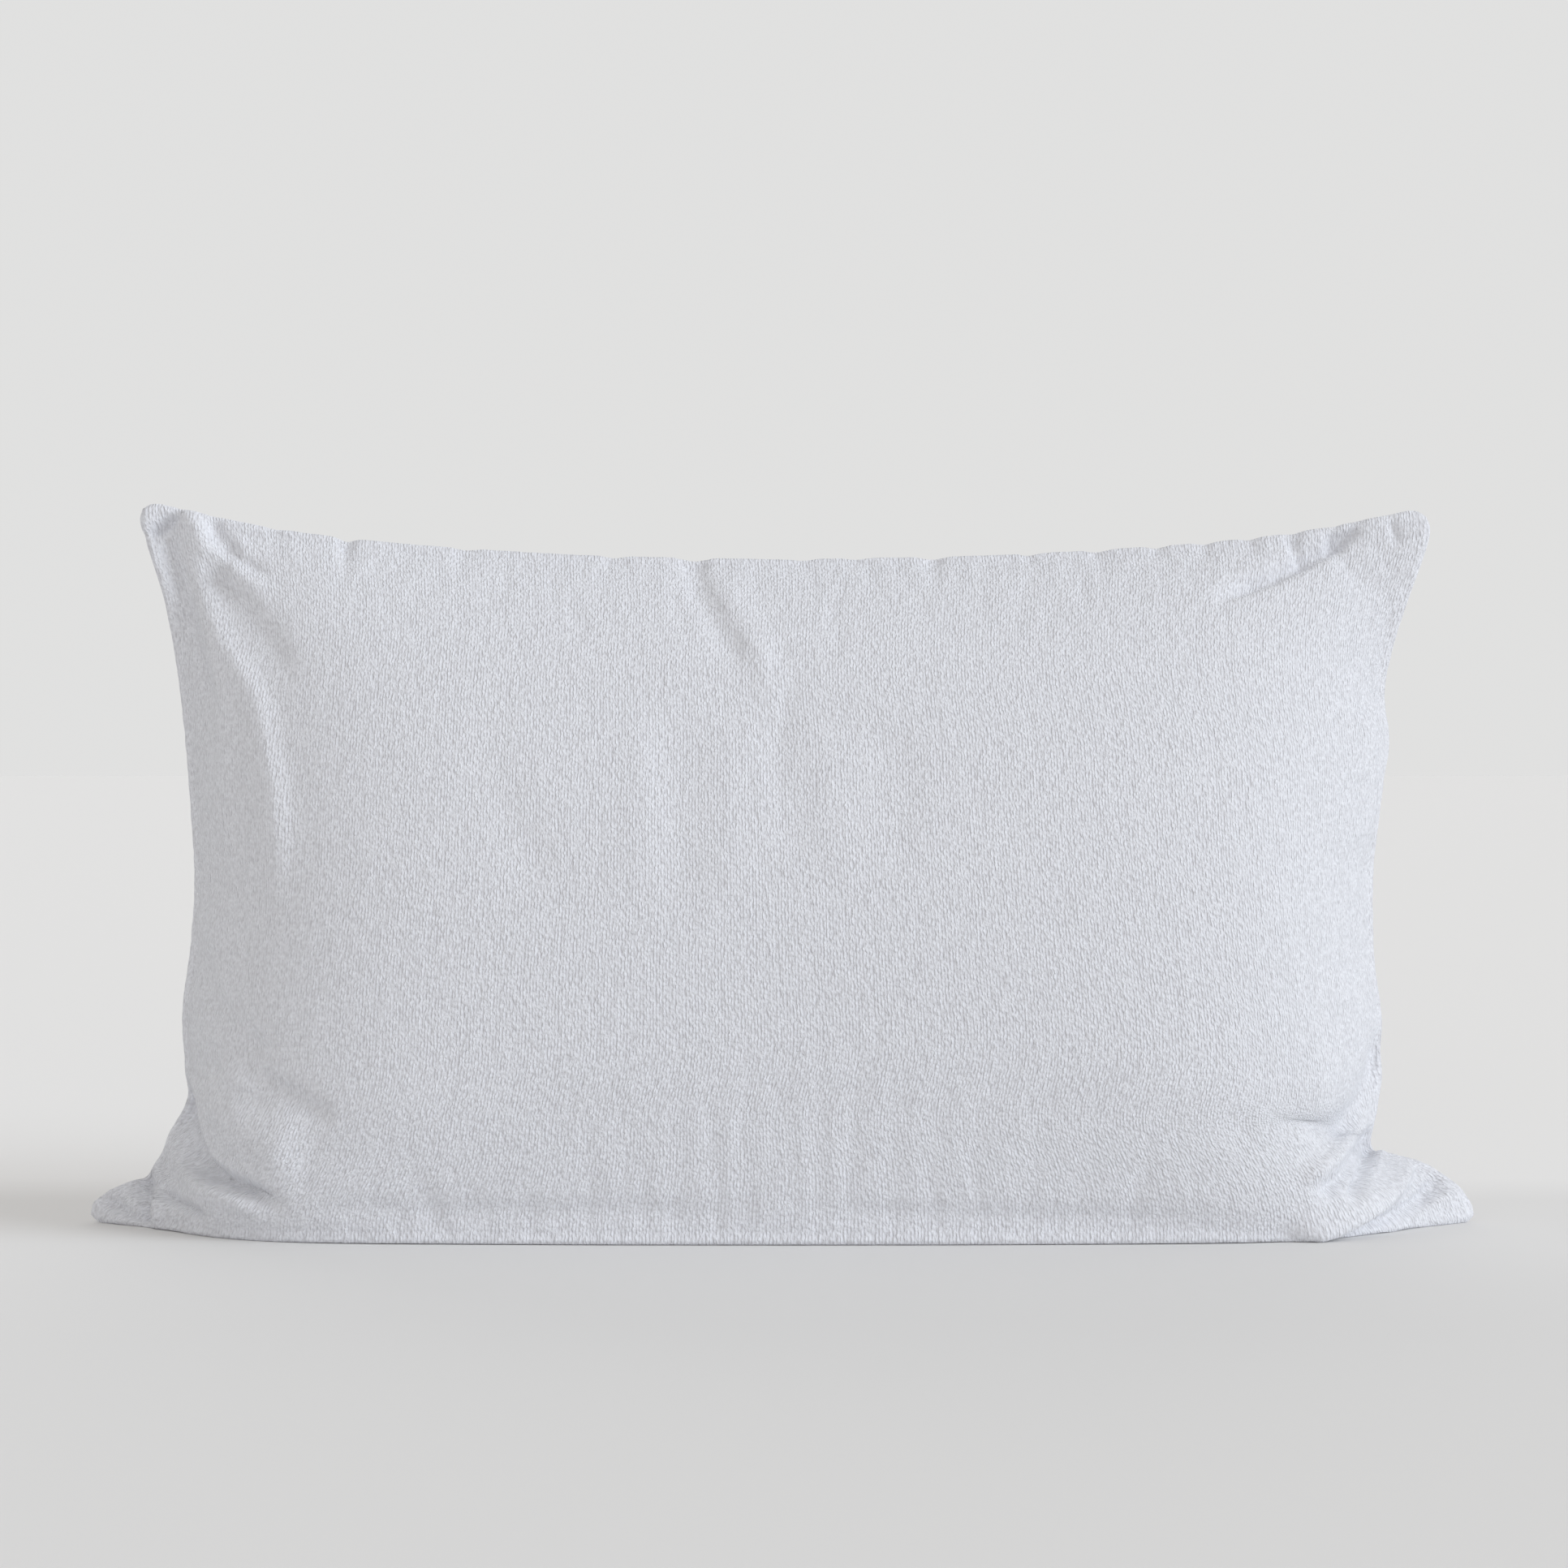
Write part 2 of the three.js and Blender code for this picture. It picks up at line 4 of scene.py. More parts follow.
import bpy
import numpy as np
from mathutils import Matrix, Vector


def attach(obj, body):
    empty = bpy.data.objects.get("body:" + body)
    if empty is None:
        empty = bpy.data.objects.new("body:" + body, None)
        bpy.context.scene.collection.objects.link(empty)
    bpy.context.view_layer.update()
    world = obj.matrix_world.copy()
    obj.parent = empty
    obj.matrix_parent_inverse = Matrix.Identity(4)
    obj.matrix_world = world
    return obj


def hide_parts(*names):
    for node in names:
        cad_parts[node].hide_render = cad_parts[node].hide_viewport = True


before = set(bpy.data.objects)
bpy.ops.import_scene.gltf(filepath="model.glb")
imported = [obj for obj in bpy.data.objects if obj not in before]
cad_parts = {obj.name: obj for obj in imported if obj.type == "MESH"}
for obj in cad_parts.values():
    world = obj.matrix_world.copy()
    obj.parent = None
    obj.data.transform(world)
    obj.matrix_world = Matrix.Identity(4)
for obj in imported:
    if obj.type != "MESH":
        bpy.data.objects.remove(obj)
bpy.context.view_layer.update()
scene = bpy.context.scene

MM = 0.001
RNG_SEED = 20261117
FRONT, BACK = 1, -1

# The cover's flat cut and the pillow inside it.
CASE_LENGTH = 914
CASE_WIDTH = 508
TERRY = 2.2
CLEARANCE = 0.3
SEAM_ROLL = 3.5
HALF_THICKNESS = 90
FULLNESS_SCALE = 2.313
EARS_FILL_OVER = (25, 135)
TOP_CORNER_RADIUS = 22
BOTTOM_CORNER_RADIUS = 14
CAD_SHIFT_Y = 0.672

# The zip, across the back below the top seam.
ZIP_BELOW_TOP_SEAM = 62
ZIP_LEAN = math.radians(9)
ZIP_OPENING_HALF = 5
SEWN_SHUT_OVER = (274, 287)
SEWN_GAP_HALF = 0.4
ZIP_X_PER_U = 400
ZIP_V = 1 - ZIP_BELOW_TOP_SEAM / CASE_WIDTH
ZIP_CENTRE = np.array([0, 60.605, 361.614])
ZIP_UP = np.array([0, -math.sin(ZIP_LEAN), math.cos(ZIP_LEAN)])
ZIP_OUT = np.array([0, math.cos(ZIP_LEAN), math.sin(ZIP_LEAN)])
FLAT_BESIDE_ZIP = 18
FLAT_UP_TO = (299, 372)
HEM_ROLL = 1.1
HEM_DEPTH = 8

# Its parts: heights are out of the cover, from the face of its cloth.
TAPE_HALF_LENGTH = 288
TAPE_INNER = 0.9
TAPE_OUTER = 14
TAPE_TOP = -2.5
TAPE_THICKNESS = 0.6
TAPE_EDGE_HALF = 0.12
COIL_HALF_LENGTH = 268
COIL_MIDDLE = -1.3
COIL_REACH = (-0.25, 2.7)
COIL_PITCH = 1.4
COIL_WIRE = 0.3
STITCH_FROM_CENTRE = 8

# Layers inside: how far each lies in from the cover's seams, and how deep under its surface.
TICKING_INSET = 28
TICKING_DEPTH = 5.5
FILLING_INSET = 40
FILLING_DEPTH = 10
LUMP_SIZE = 26
LUMP_HEIGHT = 2.2
PIPING_INSET = 24
PIPING_CORNER = 10
PIPING_RADIUS = 1.25
PIPING_TWIST = 2.6
ALLOWANCE_FROM_SEAM = np.linspace(4, 15, 6)
ALLOWANCE_HALF = 0.75
OVERLOCK_RADIUS = 0.28

# The labels' places (x, z), sizes and heights over the cloth.
CARE_LABEL = ((-330, 136), (22, 38), 0.9)
TICKING_LABEL = ((253, 88), (32, 42), 0.5)
LABEL_THICKNESS = 0.3
LABEL_CURL = 1.2

# Least heights over the floor, and how much lower the cloth settles along it.
PANEL_LOWEST = 0.3
PILE_LOWEST = 0.2
INNER_LOWEST = 1.2
PIPING_LOWEST = 2
SETTLED = 1
SETTLED_OVER = (0, 9)
SETTLED_UNDER_FOLDS = 0.6
UNDER_FOLDS_OVER = (3, 16)

# Seams, as in the CAD, from the middle of the pillow to its right end.
BOTTOM_SEAM = [(0, -90, 0.4), (150, -88, 0.4), (300, -77, 0.4), (348, -59, 0.4), (396, -20, 0.5),
               (447, 14, 1)]
TOP_SEAM = [(0, 40, 425), (150, 40, 429), (300, 43, 442), (408, 50, 464)]
MIDDLE_LINE = [(0, -90, 0.8), (0, -55, 14), (0, -22, 46), (0, -3, 97), (0, 0, 172), (0, 6, 280),
               (0, 22, 366), (0, 40, 425)]
# The side seams differ: each is listed from the bottom tip to the top tip.
RIGHT_SEAM = [(448, 14, 1), (441, 13, 12), (431, 12, 24), (417, 11, 34), (402, 10, 39), (388, 9, 41),
              (378, 8.5, 43), (374.5, 8, 48), (375, 8, 58), (378, 8, 74), (382, 9, 98), (382, 9, 123),
              (377, 12, 165), (377, 18, 228), (384, 26, 285), (388, 29, 305), (386, 33, 340),
              (394, 37, 372), (405, 42, 402), (417, 47, 434), (424, 50, 461)]
LEFT_SEAM = [(-449, 14, 1), (-446, 13, 9), (-437, 12, 18), (-423, 11, 23), (-408, 10, 29), (-400, 9, 40),
             (-391, 9, 58), (-382, 8.5, 82), (-382, 9, 100), (-384, 10, 133), (-378, 14, 185),
             (-377, 18, 222), (-383, 29, 290), (-387, 33, 326), (-393, 37, 365), (-401, 42, 399),
             (-412, 46, 432), (-424, 50, 466)]

# Points along and up each grid.
COARSE_GRID = (141, 79)
PANEL_GRID = (421, 235)
ROWS_BELOW_ZIP = 206
ROWS_ABOVE_ZIP = 28
TICKING_GRID = (201, 111)
FILLING_GRID = (141, 77)

# The cloth simulation that settles the cover over its filling.
CLOTH_FRAMES = 22
CLOTH_PRESSURE = 3
CLOTH_BENDING = 0.6
CLOTH_CAP = 12
SPARE_CLOTH = 0.05
SPARE_FADES = (20, 150)

# The pile's layers of dashes: height, width, length, and where the pattern starts.
PILE_DASHES = [(0.27, 2.6, 4, 0, 0), (0.09, 5, 8, 40, 9), (0.07, 14, 16, 0, 0)]
PILE_FROM_SEAM = (0.2, 4)

# The front view that the folds below are drawn in.
VIEW_DISTANCE = 2357
VIEW_HEIGHT = 343
FOLD_FADE = 0.25
FOLDS_FROM_SEAM = (-3, 10)
FOLDS_THROUGH = 16

# A gather's notch in the outline: its share of the gather's depth, and its reach down the cloth.
NOTCH_SHARE = 0.55
NOTCH_REACH = 9

# Folds of the front: height, widths on the left and right of the path, and the path in that view.
FOLDS = [
    # from the top left corner, down the left side
    (-7, 3, 4, [(-428, 424), (-412, 436), (-400, 443), (-390, 450), (-376, 464)]),
    (5, 8, 20, [(-386, 466), (-380, 453), (-374, 434), (-368, 400), (-358, 374), (-344, 350), (-334, 330),
        (-329, 305), (-324, 273), (-323, 230), (-330, 190)]),
    (-7, 7, 7, [(-400, 464), (-394, 446), (-389, 424), (-381, 398), (-373, 372), (-366, 345), (-362, 315)]),
    (3, 6, 10, [(-378, 400), (-368, 372), (-360, 345), (-355, 312), (-355, 280), (-357, 250), (-360, 225)]),
    (4.5, 8, 8, [(-382, 468), (-376, 454), (-368, 438), (-356, 424), (-342, 413), (-322, 402)]),
    (-4, 4, 8, [(-368, 470), (-363, 456), (-360, 441), (-352, 430), (-341, 421), (-322, 411)]),
    (-3.5, 9, 12, [(-380, 432), (-366, 414), (-349, 399), (-333, 380), (-322, 362), (-312, 340)]),
    # the lower left
    (3, 6, 14, [(-362, 215), (-363, 185), (-362, 160), (-356, 142), (-346, 130), (-330, 112)]),
    (-5, 8, 9, [(-370, 190), (-367, 158), (-360, 142), (-350, 130), (-338, 114), (-324, 98)]),
    (-4.5, 6, 9, [(-354, 112), (-340, 99), (-320, 86), (-300, 74), (-284, 64)]),
    (-4, 6, 9, [(-368, 112), (-362, 98), (-351, 86), (-338, 81), (-322, 78)]),
    (-12, 3.5, 8, [(-392, 108), (-384, 90), (-379, 76), (-377, 62), (-374, 50), (-369, 39), (-358, 31),
        (-342, 24), (-328, 16), (-314, 7)]),
    (5, 7, 6, [(-396, 78), (-390, 56), (-384, 36), (-372, 23), (-356, 17), (-340, 11), (-324, 4)]),
    (9, 20, 20, [(-360, 112), (-354, 88), (-350, 70), (-342, 58), (-326, 48), (-300, 40)]),
    (-7.5, 5, 4, [(-411, 54), (-409, 36), (-408, 20), (-409, 5), (-412, -10)]),
    (6, 4, 5, [(-400, 44), (-399, 26), (-399, 10), (-400, -6)]),
    (-5, 3.5, 4, [(-443, 25), (-433, 17), (-421, 8), (-406, -4)]),
    (-6, 3.5, 4, [(-406, 32), (-396, 21), (-385, 13), (-368, 0)]),
    # the lower right, with the ridge that runs out along the ear
    (-7, 3, 9, [(388, 134), (382, 110), (376, 93), (370, 77), (362, 66), (353, 58), (344, 52)]),
    (5, 5, 6, [(374, 74), (366, 58), (354, 44), (342, 34), (328, 26)]),
    (-8, 5, 7, [(378, 66), (370, 50), (362, 34), (352, 24), (338, 18)]),
    (-8, 3, 3.5, [(384, 62), (376, 46), (372, 34), (367, 24), (358, 12)]),
    (10.5, 10, 4, [(316, -12), (336, -5), (356, 2), (374, 10), (388, 20), (397, 32), (400, 46)]),
    (-5, 3, 6, [(345, -14), (365, -5), (385, 4), (402, 14), (415, 27), (424, 40)]),
    (4, 5, 5, [(374, -10), (394, 2), (412, 12), (428, 20), (444, 28)]),
    (3.5, 18, 16, [(366, 170), (362, 140), (355, 108), (345, 84), (326, 68)]),
    (2.6, 10, 9, [(292, 66), (308, 64), (324, 62), (340, 57)]),
    # the right side and the top right corner
    (-7.5, 6.5, 3.5, [(270, 396), (290, 405), (312, 413), (330, 422), (346, 430), (356, 436), (363, 446),
        (368, 462)]),
    (-2.5, 3.5, 3.5, [(314, 448), (320, 438), (327, 428), (334, 416)]),
    (-2.5, 3.5, 3.5, [(336, 454), (343, 444), (350, 435), (357, 424)]),
    (-2.5, 3, 3, [(382, 464), (385, 454), (388, 443), (390, 430)]),
    (4, 22, 16, [(372, 340), (376, 310), (370, 270), (360, 230)]),
    # upright folds in the middle, and the one from the deepest gather
    (-2.6, 9, 9, [(-62, 424), (-52, 405), (-40, 380), (-26, 352)]),
    (2.2, 10, 10, [(-48, 418), (-30, 388), (-8, 350), (4, 332)]),
    (-1.1, 14, 14, [(-80, 340), (-70, 315), (-67, 260), (-66, 215), (-60, 190)]),
    (-1, 14, 14, [(0, 335), (2, 300), (3, 255), (8, 225)]),
    (-1, 14, 14, [(66, 330), (72, 300), (72, 250), (76, 215)]),
    (-1.2, 16, 16, [(-196, 330), (-185, 290), (-165, 240), (-140, 205)]),
    (0.9, 14, 14, [(-96, 330), (-91, 290), (-92, 230), (-90, 200)]),
    (0.9, 14, 14, [(-36, 330), (-34, 290), (-32, 230), (-28, 205)]),
    (0.8, 14, 14, [(28, 330), (30, 290), (36, 230), (40, 205)]),
    # the lip along the floor
    (-2.2, 7, 9, [(-330, 12), (-300, 10), (-200, 8), (-100, 8), (-30, 10), (-18, 22), (-14, 40)]),
    (-2.2, 7, 9, [(-10, 10), (100, 6), (200, 4), (270, 2), (316, 0)]),
]

# Gathers of the top seam: place along it, depth, width and reach down the cloth.
GATHERS = [(-283, 4.2, 5, 22), (-206, 1.6, 6, 14), (-110, 1.6, 6, 12), (-58, 3.4, 8, 30), (96, 2.4, 7, 18),
           (158, 1.8, 5, 12), (202, 2.2, 6, 12), (241, 2.2, 5, 12), (272, 2.4, 5, 12), (301, 2.4, 5, 12),
           (330, 2.2, 5, 12), (356, 2, 4, 10), (-330, 1.4, 6, 12), (12, 1.2, 6, 10), (46, 1, 6, 10)]

# Loops of the terry, in metres, and its colours.
LOOP_WIDTH = 0.0021
LOOP_LENGTH = 0.0031
LOOP_HEIGHT = 0.0012
TERRY_COLOUR = (0.8, 0.81, 0.845)
# painted shade: the terry's colour deep in the pile, between its loops
TERRY_PAINTED_SHADE = (0.615, 0.615, 0.65)
LIGHT_TERRY = (0.925, 0.945, 1)

# Floor, background, soft light and camera.
FLOOR_REACH = 12
FLOOR_COLOUR = (0.76, 0.755, 0.75)
PALE_FLOOR_COLOUR = (0.835, 0.83, 0.825)
PALE_FLOOR_BETWEEN = (0.11, 0.22)
BACKGROUND_COLOUR = (0.75, 0.75, 0.745, 1)
SOFT_LIGHT_COLOUR = (1, 0.985, 0.965, 1)
SOFT_LIGHT = 0.62
CAMERA_PLACE = (0, -VIEW_DISTANCE * MM, VIEW_HEIGHT * MM)
CAMERA_TARGET = (0, 0.014, 0.281)


# ---- shared geometry

def smoothstep(x, low, high):
    t = np.clip((x - low) / (high - low), 0, 1)
    return t * t * (3 - 2 * t)


def rounded(share):
    """Rises from 0 to 1 as a quarter circle, like cloth that turns over at a seam."""
    return np.sqrt(1 - (1 - np.clip(share, 0, 1)) ** 2)


def unit(vectors):
    return vectors / np.maximum(np.linalg.norm(vectors, axis=-1, keepdims=True), 1e-9)


def lengthwise(points):
    """How far along a line each of its points is."""
    return np.concatenate([[0], np.cumsum(np.linalg.norm(np.diff(points, axis=0), axis=1))])


def along_line(at, run, points):
    """The places at these distances along a line, where run is how far along each point is."""
    return np.stack([np.interp(at, run, points[:, k]) for k in range(points.shape[1])], axis=-1)


def kept_above(points, lowest):
    points[..., 2] = np.maximum(points[..., 2], lowest)
    return points


def even_grid(columns, rows):
    """The u and v of a grid of points: -1 to 1 along the pillow, and 0 to 1 up it."""
    return np.meshgrid(np.linspace(-1, 1, columns), np.linspace(0, 1, rows))


def on_cut(u, v):
    return np.stack([u * CASE_LENGTH / 2, v * CASE_WIDTH], axis=-1)


def from_seams(u, v):
    """Distances on the flat cut to the nearest side seam, and to the bottom or top seam."""
    return (1 - np.abs(u)) * CASE_LENGTH / 2, np.minimum(v, 1 - v) * CASE_WIDTH


def from_seam(u, v):
    return np.minimum(*from_seams(u, v))


def hermite(a, b, tangent_a, tangent_b, t):
    t = t[:, None]
    return ((2 * t ** 3 - 3 * t ** 2 + 1) * a + (t ** 3 - 2 * t ** 2 + t) * tangent_a
            + (3 * t ** 2 - 2 * t ** 3) * b + (t ** 3 - t ** 2) * tangent_b)


def even_curve(points, steps=60):
    """A smooth curve through the points, as a function of the share of its length."""
    p = np.array(points, float)
    p = np.vstack([2 * p[0] - p[1], p, 2 * p[-1] - p[-2]])
    gaps = np.sqrt(np.linalg.norm(np.diff(p, axis=0), axis=1))
    drawn = []
    for i in range(len(p) - 3):
        (p0, p1, p2, p3), (d0, d1, d2) = p[i:i + 4], gaps[i:i + 3]
        start = ((p1 - p0) / d0 - (p2 - p0) / (d0 + d1)) * d1 + p2 - p1
        end = ((p3 - p2) / d2 - (p3 - p1) / (d1 + d2)) * d1 + p2 - p1
        drawn.append(hermite(p1, p2, start, end, np.linspace(0, 1, steps, endpoint=False)))
    drawn = np.vstack([*drawn, p[-2]])
    run = lengthwise(drawn)
    return lambda s: along_line(s, run / run[-1], drawn)


def value_noise(x, y, seed, cells=512):
    """Smooth noise between -1 and 1, one cell per unit."""
    lattice = np.random.default_rng(RNG_SEED + seed).uniform(-1, 1, (cells, cells))
    xi, yi = np.floor(x).astype(int), np.floor(y).astype(int)
    fx, fy = smoothstep(x - xi, 0, 1), smoothstep(y - yi, 0, 1)
    left, right, low, high = xi % cells, (xi + 1) % cells, yi % cells, (yi + 1) % cells
    a, b = lattice[left, low], lattice[right, low]
    c, d = lattice[left, high], lattice[right, high]
    return (a * (1 - fx) + b * fx) * (1 - fy) + (c * (1 - fx) + d * fx) * fy


def grid_normals(points, side):
    along, up = np.gradient(points, axis=1), np.gradient(points, axis=0)
    return unit(np.cross(along, up) * side)


def spaced_evenly(points):
    """The same grid, with its columns and rows spaced by length, three times over."""
    for _ in range(6):
        lines = []
        for line in points.transpose(1, 0, 2):
            run = lengthwise(line)
            lines.append(along_line(np.linspace(0, run[-1], len(line)), run, line))
        points = np.array(lines)
    return points


def smoothed(points, passes):
    """Evens out a grid of points, and leaves its edge where it is."""
    for _ in range(passes):
        middle = (points[:-2, 1:-1] + points[2:, 1:-1] + points[1:-1, :-2] + points[1:-1, 2:]) / 4
        points = points.copy()
        points[1:-1, 1:-1] += (middle - points[1:-1, 1:-1]) * 0.5
    return points


def cubic_matrix(shares, coarse):
    """Weights that take a row of coarse values to smooth ones at these shares of its length."""
    at = shares * (coarse - 1)
    cell = np.minimum(at.astype(int), coarse - 2)
    t = at - cell
    weights = np.zeros((len(shares), coarse))
    terms = ((-1, -0.5 * t + t ** 2 - 0.5 * t ** 3), (0, 1 - 2.5 * t ** 2 + 1.5 * t ** 3),
             (1, 0.5 * t + 2 * t ** 2 - 1.5 * t ** 3), (2, -0.5 * t ** 2 + 0.5 * t ** 3))
    for offset, weight in terms:
        np.add.at(weights, (np.arange(len(shares)), np.clip(cell + offset, 0, coarse - 1)), weight)
    return weights


def sampled(points, u, v):
    """The smooth surface through a grid of points, at the columns u and the rows v."""
    down, across = cubic_matrix(v, points.shape[0]), cubic_matrix((u + 1) / 2, points.shape[1])
    return np.einsum("ij,jkc,lk->ilc", down, points, across)


def picked(points, u, v):
    """The points of a surface at any places on the cut."""
    rows, columns = points.shape[:2]
    x, y = (u + 1) / 2 * (columns - 1), v * (rows - 1)
    i, j = np.clip(x.astype(int), 0, columns - 2), np.clip(y.astype(int), 0, rows - 2)
    fx, fy = (x - i)[..., None], (y - j)[..., None]
    low = points[j, i] * (1 - fx) + points[j, i + 1] * fx
    high = points[j + 1, i] * (1 - fx) + points[j + 1, i + 1] * fx
    return low * (1 - fy) + high * fy


# ---- meshes

def linked(name, data):
    made = bpy.data.objects.new(name, data)
    scene.collection.objects.link(made)
    return made


def piece_from(name, points, faces, cut=None):
    """A smooth piece. cut is where each of its points is on the flat cloth."""
    mesh = bpy.data.meshes.new(name)
    mesh.from_pydata((points * MM).tolist(), [], faces.tolist())
    mesh.shade_smooth()
    if cut is not None:
        attribute = mesh.attributes.new("cut", "FLOAT_VECTOR", "POINT")
        flat = np.zeros((len(points), 3), np.float32)
        flat[:, :2] = cut * MM
        attribute.data.foreach_set("vector", flat.ravel())
    return linked(name, mesh)


def numbered(rows, columns):
    return np.arange(rows * columns).reshape(rows, columns)


def grid_quads(index):
    """The faces of a grid, from the numbers of its points."""
    corners = (index[:-1, :-1], index[:-1, 1:], index[1:, 1:], index[1:, :-1])
    return np.stack(corners, axis=-1).reshape(-1, 4)


def grid_piece(name, points, cut, flip=False):
    """A piece from rows x columns of points."""
    quads = grid_quads(numbered(*points.shape[:2]))
    return piece_from(name, points.reshape(-1, 3), quads[:, ::-1] if flip else quads, cut.reshape(-1, 2))


def closed_between(name, near, far, cut):
    """A closed piece between two grids of the same size, rounded where they meet at their edges."""
    index = numbered(*near.shape[:2])
    quads = grid_quads(index)
    edge = np.concatenate([index[0, :-1], index[:-1, -1], index[-1, :0:-1], index[:0:-1, 0]])
    after = np.roll(edge, -1)
    rim = np.stack([after, edge, edge + index.size, after + index.size], axis=-1)
    faces = np.vstack([quads, quads[:, ::-1] + index.size, rim])
    points = np.vstack([near.reshape(-1, 3), far.reshape(-1, 3)])
    return piece_from(name, points, faces, np.vstack([cut.reshape(-1, 2)] * 2))


def ring_faces(rings, sides, closed=False):
    """The faces that join rings of points one after another."""
    index = numbered(rings, sides)
    if closed:
        index = np.vstack([index, index[:1]])
    return grid_quads(np.hstack([index, index[:, :1]]))


def tube_points(path, radius, sides, aside, twist=0, turns=0):
    """Rings round a path, which never runs the way of aside. twist lets strands show."""
    along = unit(np.gradient(path, axis=0))
    first = unit(np.cross(along, aside))
    second = np.cross(along, first)
    angle = np.linspace(0, 2 * math.pi, sides, endpoint=False)[None, :]
    run = np.linspace(0, 2 * math.pi * turns, len(path))[:, None]
    swell = np.asarray(radius).reshape(-1, 1) * (1 + twist * np.cos(2 * angle + run))
    rings = (path[:, None] + first[:, None] * (np.cos(angle) * swell)[..., None]
             + second[:, None] * (np.sin(angle) * swell)[..., None])
    return rings.reshape(-1, 3)


def stitch_row(name, path, out, length=2.6, pitch=3.2, radius=0.32):
    """Separate stitches, each a short thread whose ends sink into the cloth."""
    run = lengthwise(path)
    share = np.linspace(0, 1, 7)
    sides = 6
    height = 0.55 * np.sin(math.pi * share) - 0.25
    swell = radius * (0.35 + 0.65 * np.sin(math.pi * np.clip(share, 0.08, 0.92)))
    points, faces = [], []
    for number, start in enumerate(np.arange(0.5, run[-1] - length, pitch)):
        line, lift = (along_line(start + share * length, run, values) for values in (path, out))
        points.append(tube_points(line + lift * height[:, None], swell, sides, lift.mean(axis=0)))
        faces.append(ring_faces(len(share), sides) + number * len(share) * sides)
    return piece_from(name, np.vstack(points), np.vstack(faces))


def finish_piece(piece, material, slot, *nodes, body="pillow"):
    piece.data.materials.append(material)
    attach(piece, body)
    if nodes:
        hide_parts(*nodes)


# ---- the cover's form, as in the CAD

bottom_seam, top_seam, middle_line = even_curve(BOTTOM_SEAM), even_curve(TOP_SEAM), even_curve(MIDDLE_LINE)
right_seam, left_seam = even_curve(RIGHT_SEAM), even_curve(LEFT_SEAM)


def mirrored(curve, u):
    point = curve(np.minimum(np.abs(u), 1))
    point[..., 0] *= np.sign(u)
    return point


def ruled_point(u, v):
    low, high = mirrored(bottom_seam, u), mirrored(top_seam, u)
    return low + (high - low) * v[..., None]


def mid_point(u, v):
    """The middle sheet of the pillow, between its seams."""
    middle = (1 - np.abs(u) ** 2.5)[..., None]
    ends = np.sign(u) + (u == 0)
    seam = np.where((u < 0)[..., None], left_seam(v), right_seam(v))
    side = seam - ruled_point(ends, v)
    lift = middle_line(v) - ruled_point(np.zeros_like(u), v)
    point = ruled_point(u, v) + lift * middle
    point[..., 0] += np.abs(u) * side[..., 0]
    point[..., 1:] += (1 - middle) * side[..., 1:]
    return point


def mid_normal(u, v, step=0.004):
    uc, vc = np.clip(u, -1 + step, 1 - step), np.clip(v, step, 1 - step)
    along = mid_point(uc + step, vc) - mid_point(uc - step, vc)
    up = mid_point(uc, vc + step) - mid_point(uc, vc - step)
    return unit(np.cross(along, up))


def fullness(u, v):
    """How far the filling pushes the cloth out, as a share of the most."""
    s, t = np.clip(np.abs(u), 0, 1), np.clip(v, 0, 1)
    ears = smoothstep(np.hypot(*from_seams(s, t)), *EARS_FILL_OVER)
    return (1 - s ** 3) ** 0.6 * FULLNESS_SCALE * t ** 0.45 * (1 - t) ** 0.85 * ears


def rounded_corners(u, v):
    """The cut with its corners rounded off."""
    a, b = from_seams(u, v)
    radius = np.where(v > 0.5, TOP_CORNER_RADIUS, BOTTOM_CORNER_RADIUS)
    p, q = np.clip(1 - a / radius, 0, 1), np.clip(1 - b / radius, 0, 1)
    corner = (p > 0) & (q > 0)
    a = np.where(corner, radius * (1 - p * np.sqrt(1 - q ** 2 / 2)), a)
    b = np.where(corner, radius * (1 - q * np.sqrt(1 - p ** 2 / 2)), b)
    return np.sign(u) * (1 - a / (CASE_LENGTH / 2)), np.where(v > 0.5, 1 - b / CASE_WIDTH, b / CASE_WIDTH)


def puffed_point(side, u, v):
    roll = rounded(from_seam(u, v) / SEAM_ROLL)
    u, v = rounded_corners(u, v)
    half = CLEARANCE / 2 + TERRY * roll + HALF_THICKNESS * fullness(u, v)
    point = kept_above(mid_point(u, v) + mid_normal(u, v) * (side * half)[..., None], PANEL_LOWEST)
    point[..., 1] += CAD_SHIFT_Y
    return point


def coarse_panel(side):
    u, v = even_grid(*COARSE_GRID)
    return smoothed(spaced_evenly(puffed_point(side, u, v ** 1.2)), 30)


# ---- settling by cloth simulation

def closed_cover(front, back):
    """One closed piece of both panels, sewn along the seams, and the vertex of each grid point."""
    rows, columns = front.shape[:2]
    index_front = numbered(rows, columns)
    index_back = index_front.copy()
    index_back[1:-1, 1:-1] = rows * columns + numbered(rows - 2, columns - 2)
    points = np.vstack([front.reshape(-1, 3), back[1:-1, 1:-1].reshape(-1, 3)])
    faces = np.vstack([grid_quads(index_front), grid_quads(index_back)[:, ::-1]])
    return piece_from("cover_cloth", points, faces), (index_front, index_back)


def mark_seams(cover, indexes):
    """Marks the vertices that the seams hold, and each one's share of the spare cloth."""
    held, spare = cover.vertex_groups.new(name="held"), cover.vertex_groups.new(name="spare")
    edge = from_seam(*even_grid(*COARSE_GRID)).ravel()
    amount = 1 - 0.85 * smoothstep(edge, *SPARE_FADES)
    for index in indexes:
        for number, distance, share in zip(index.ravel().tolist(), edge.tolist(), amount.tolist()):
            if distance < 0.01:
                held.add([number], 1, "REPLACE")
            spare.add([number], share, "REPLACE")


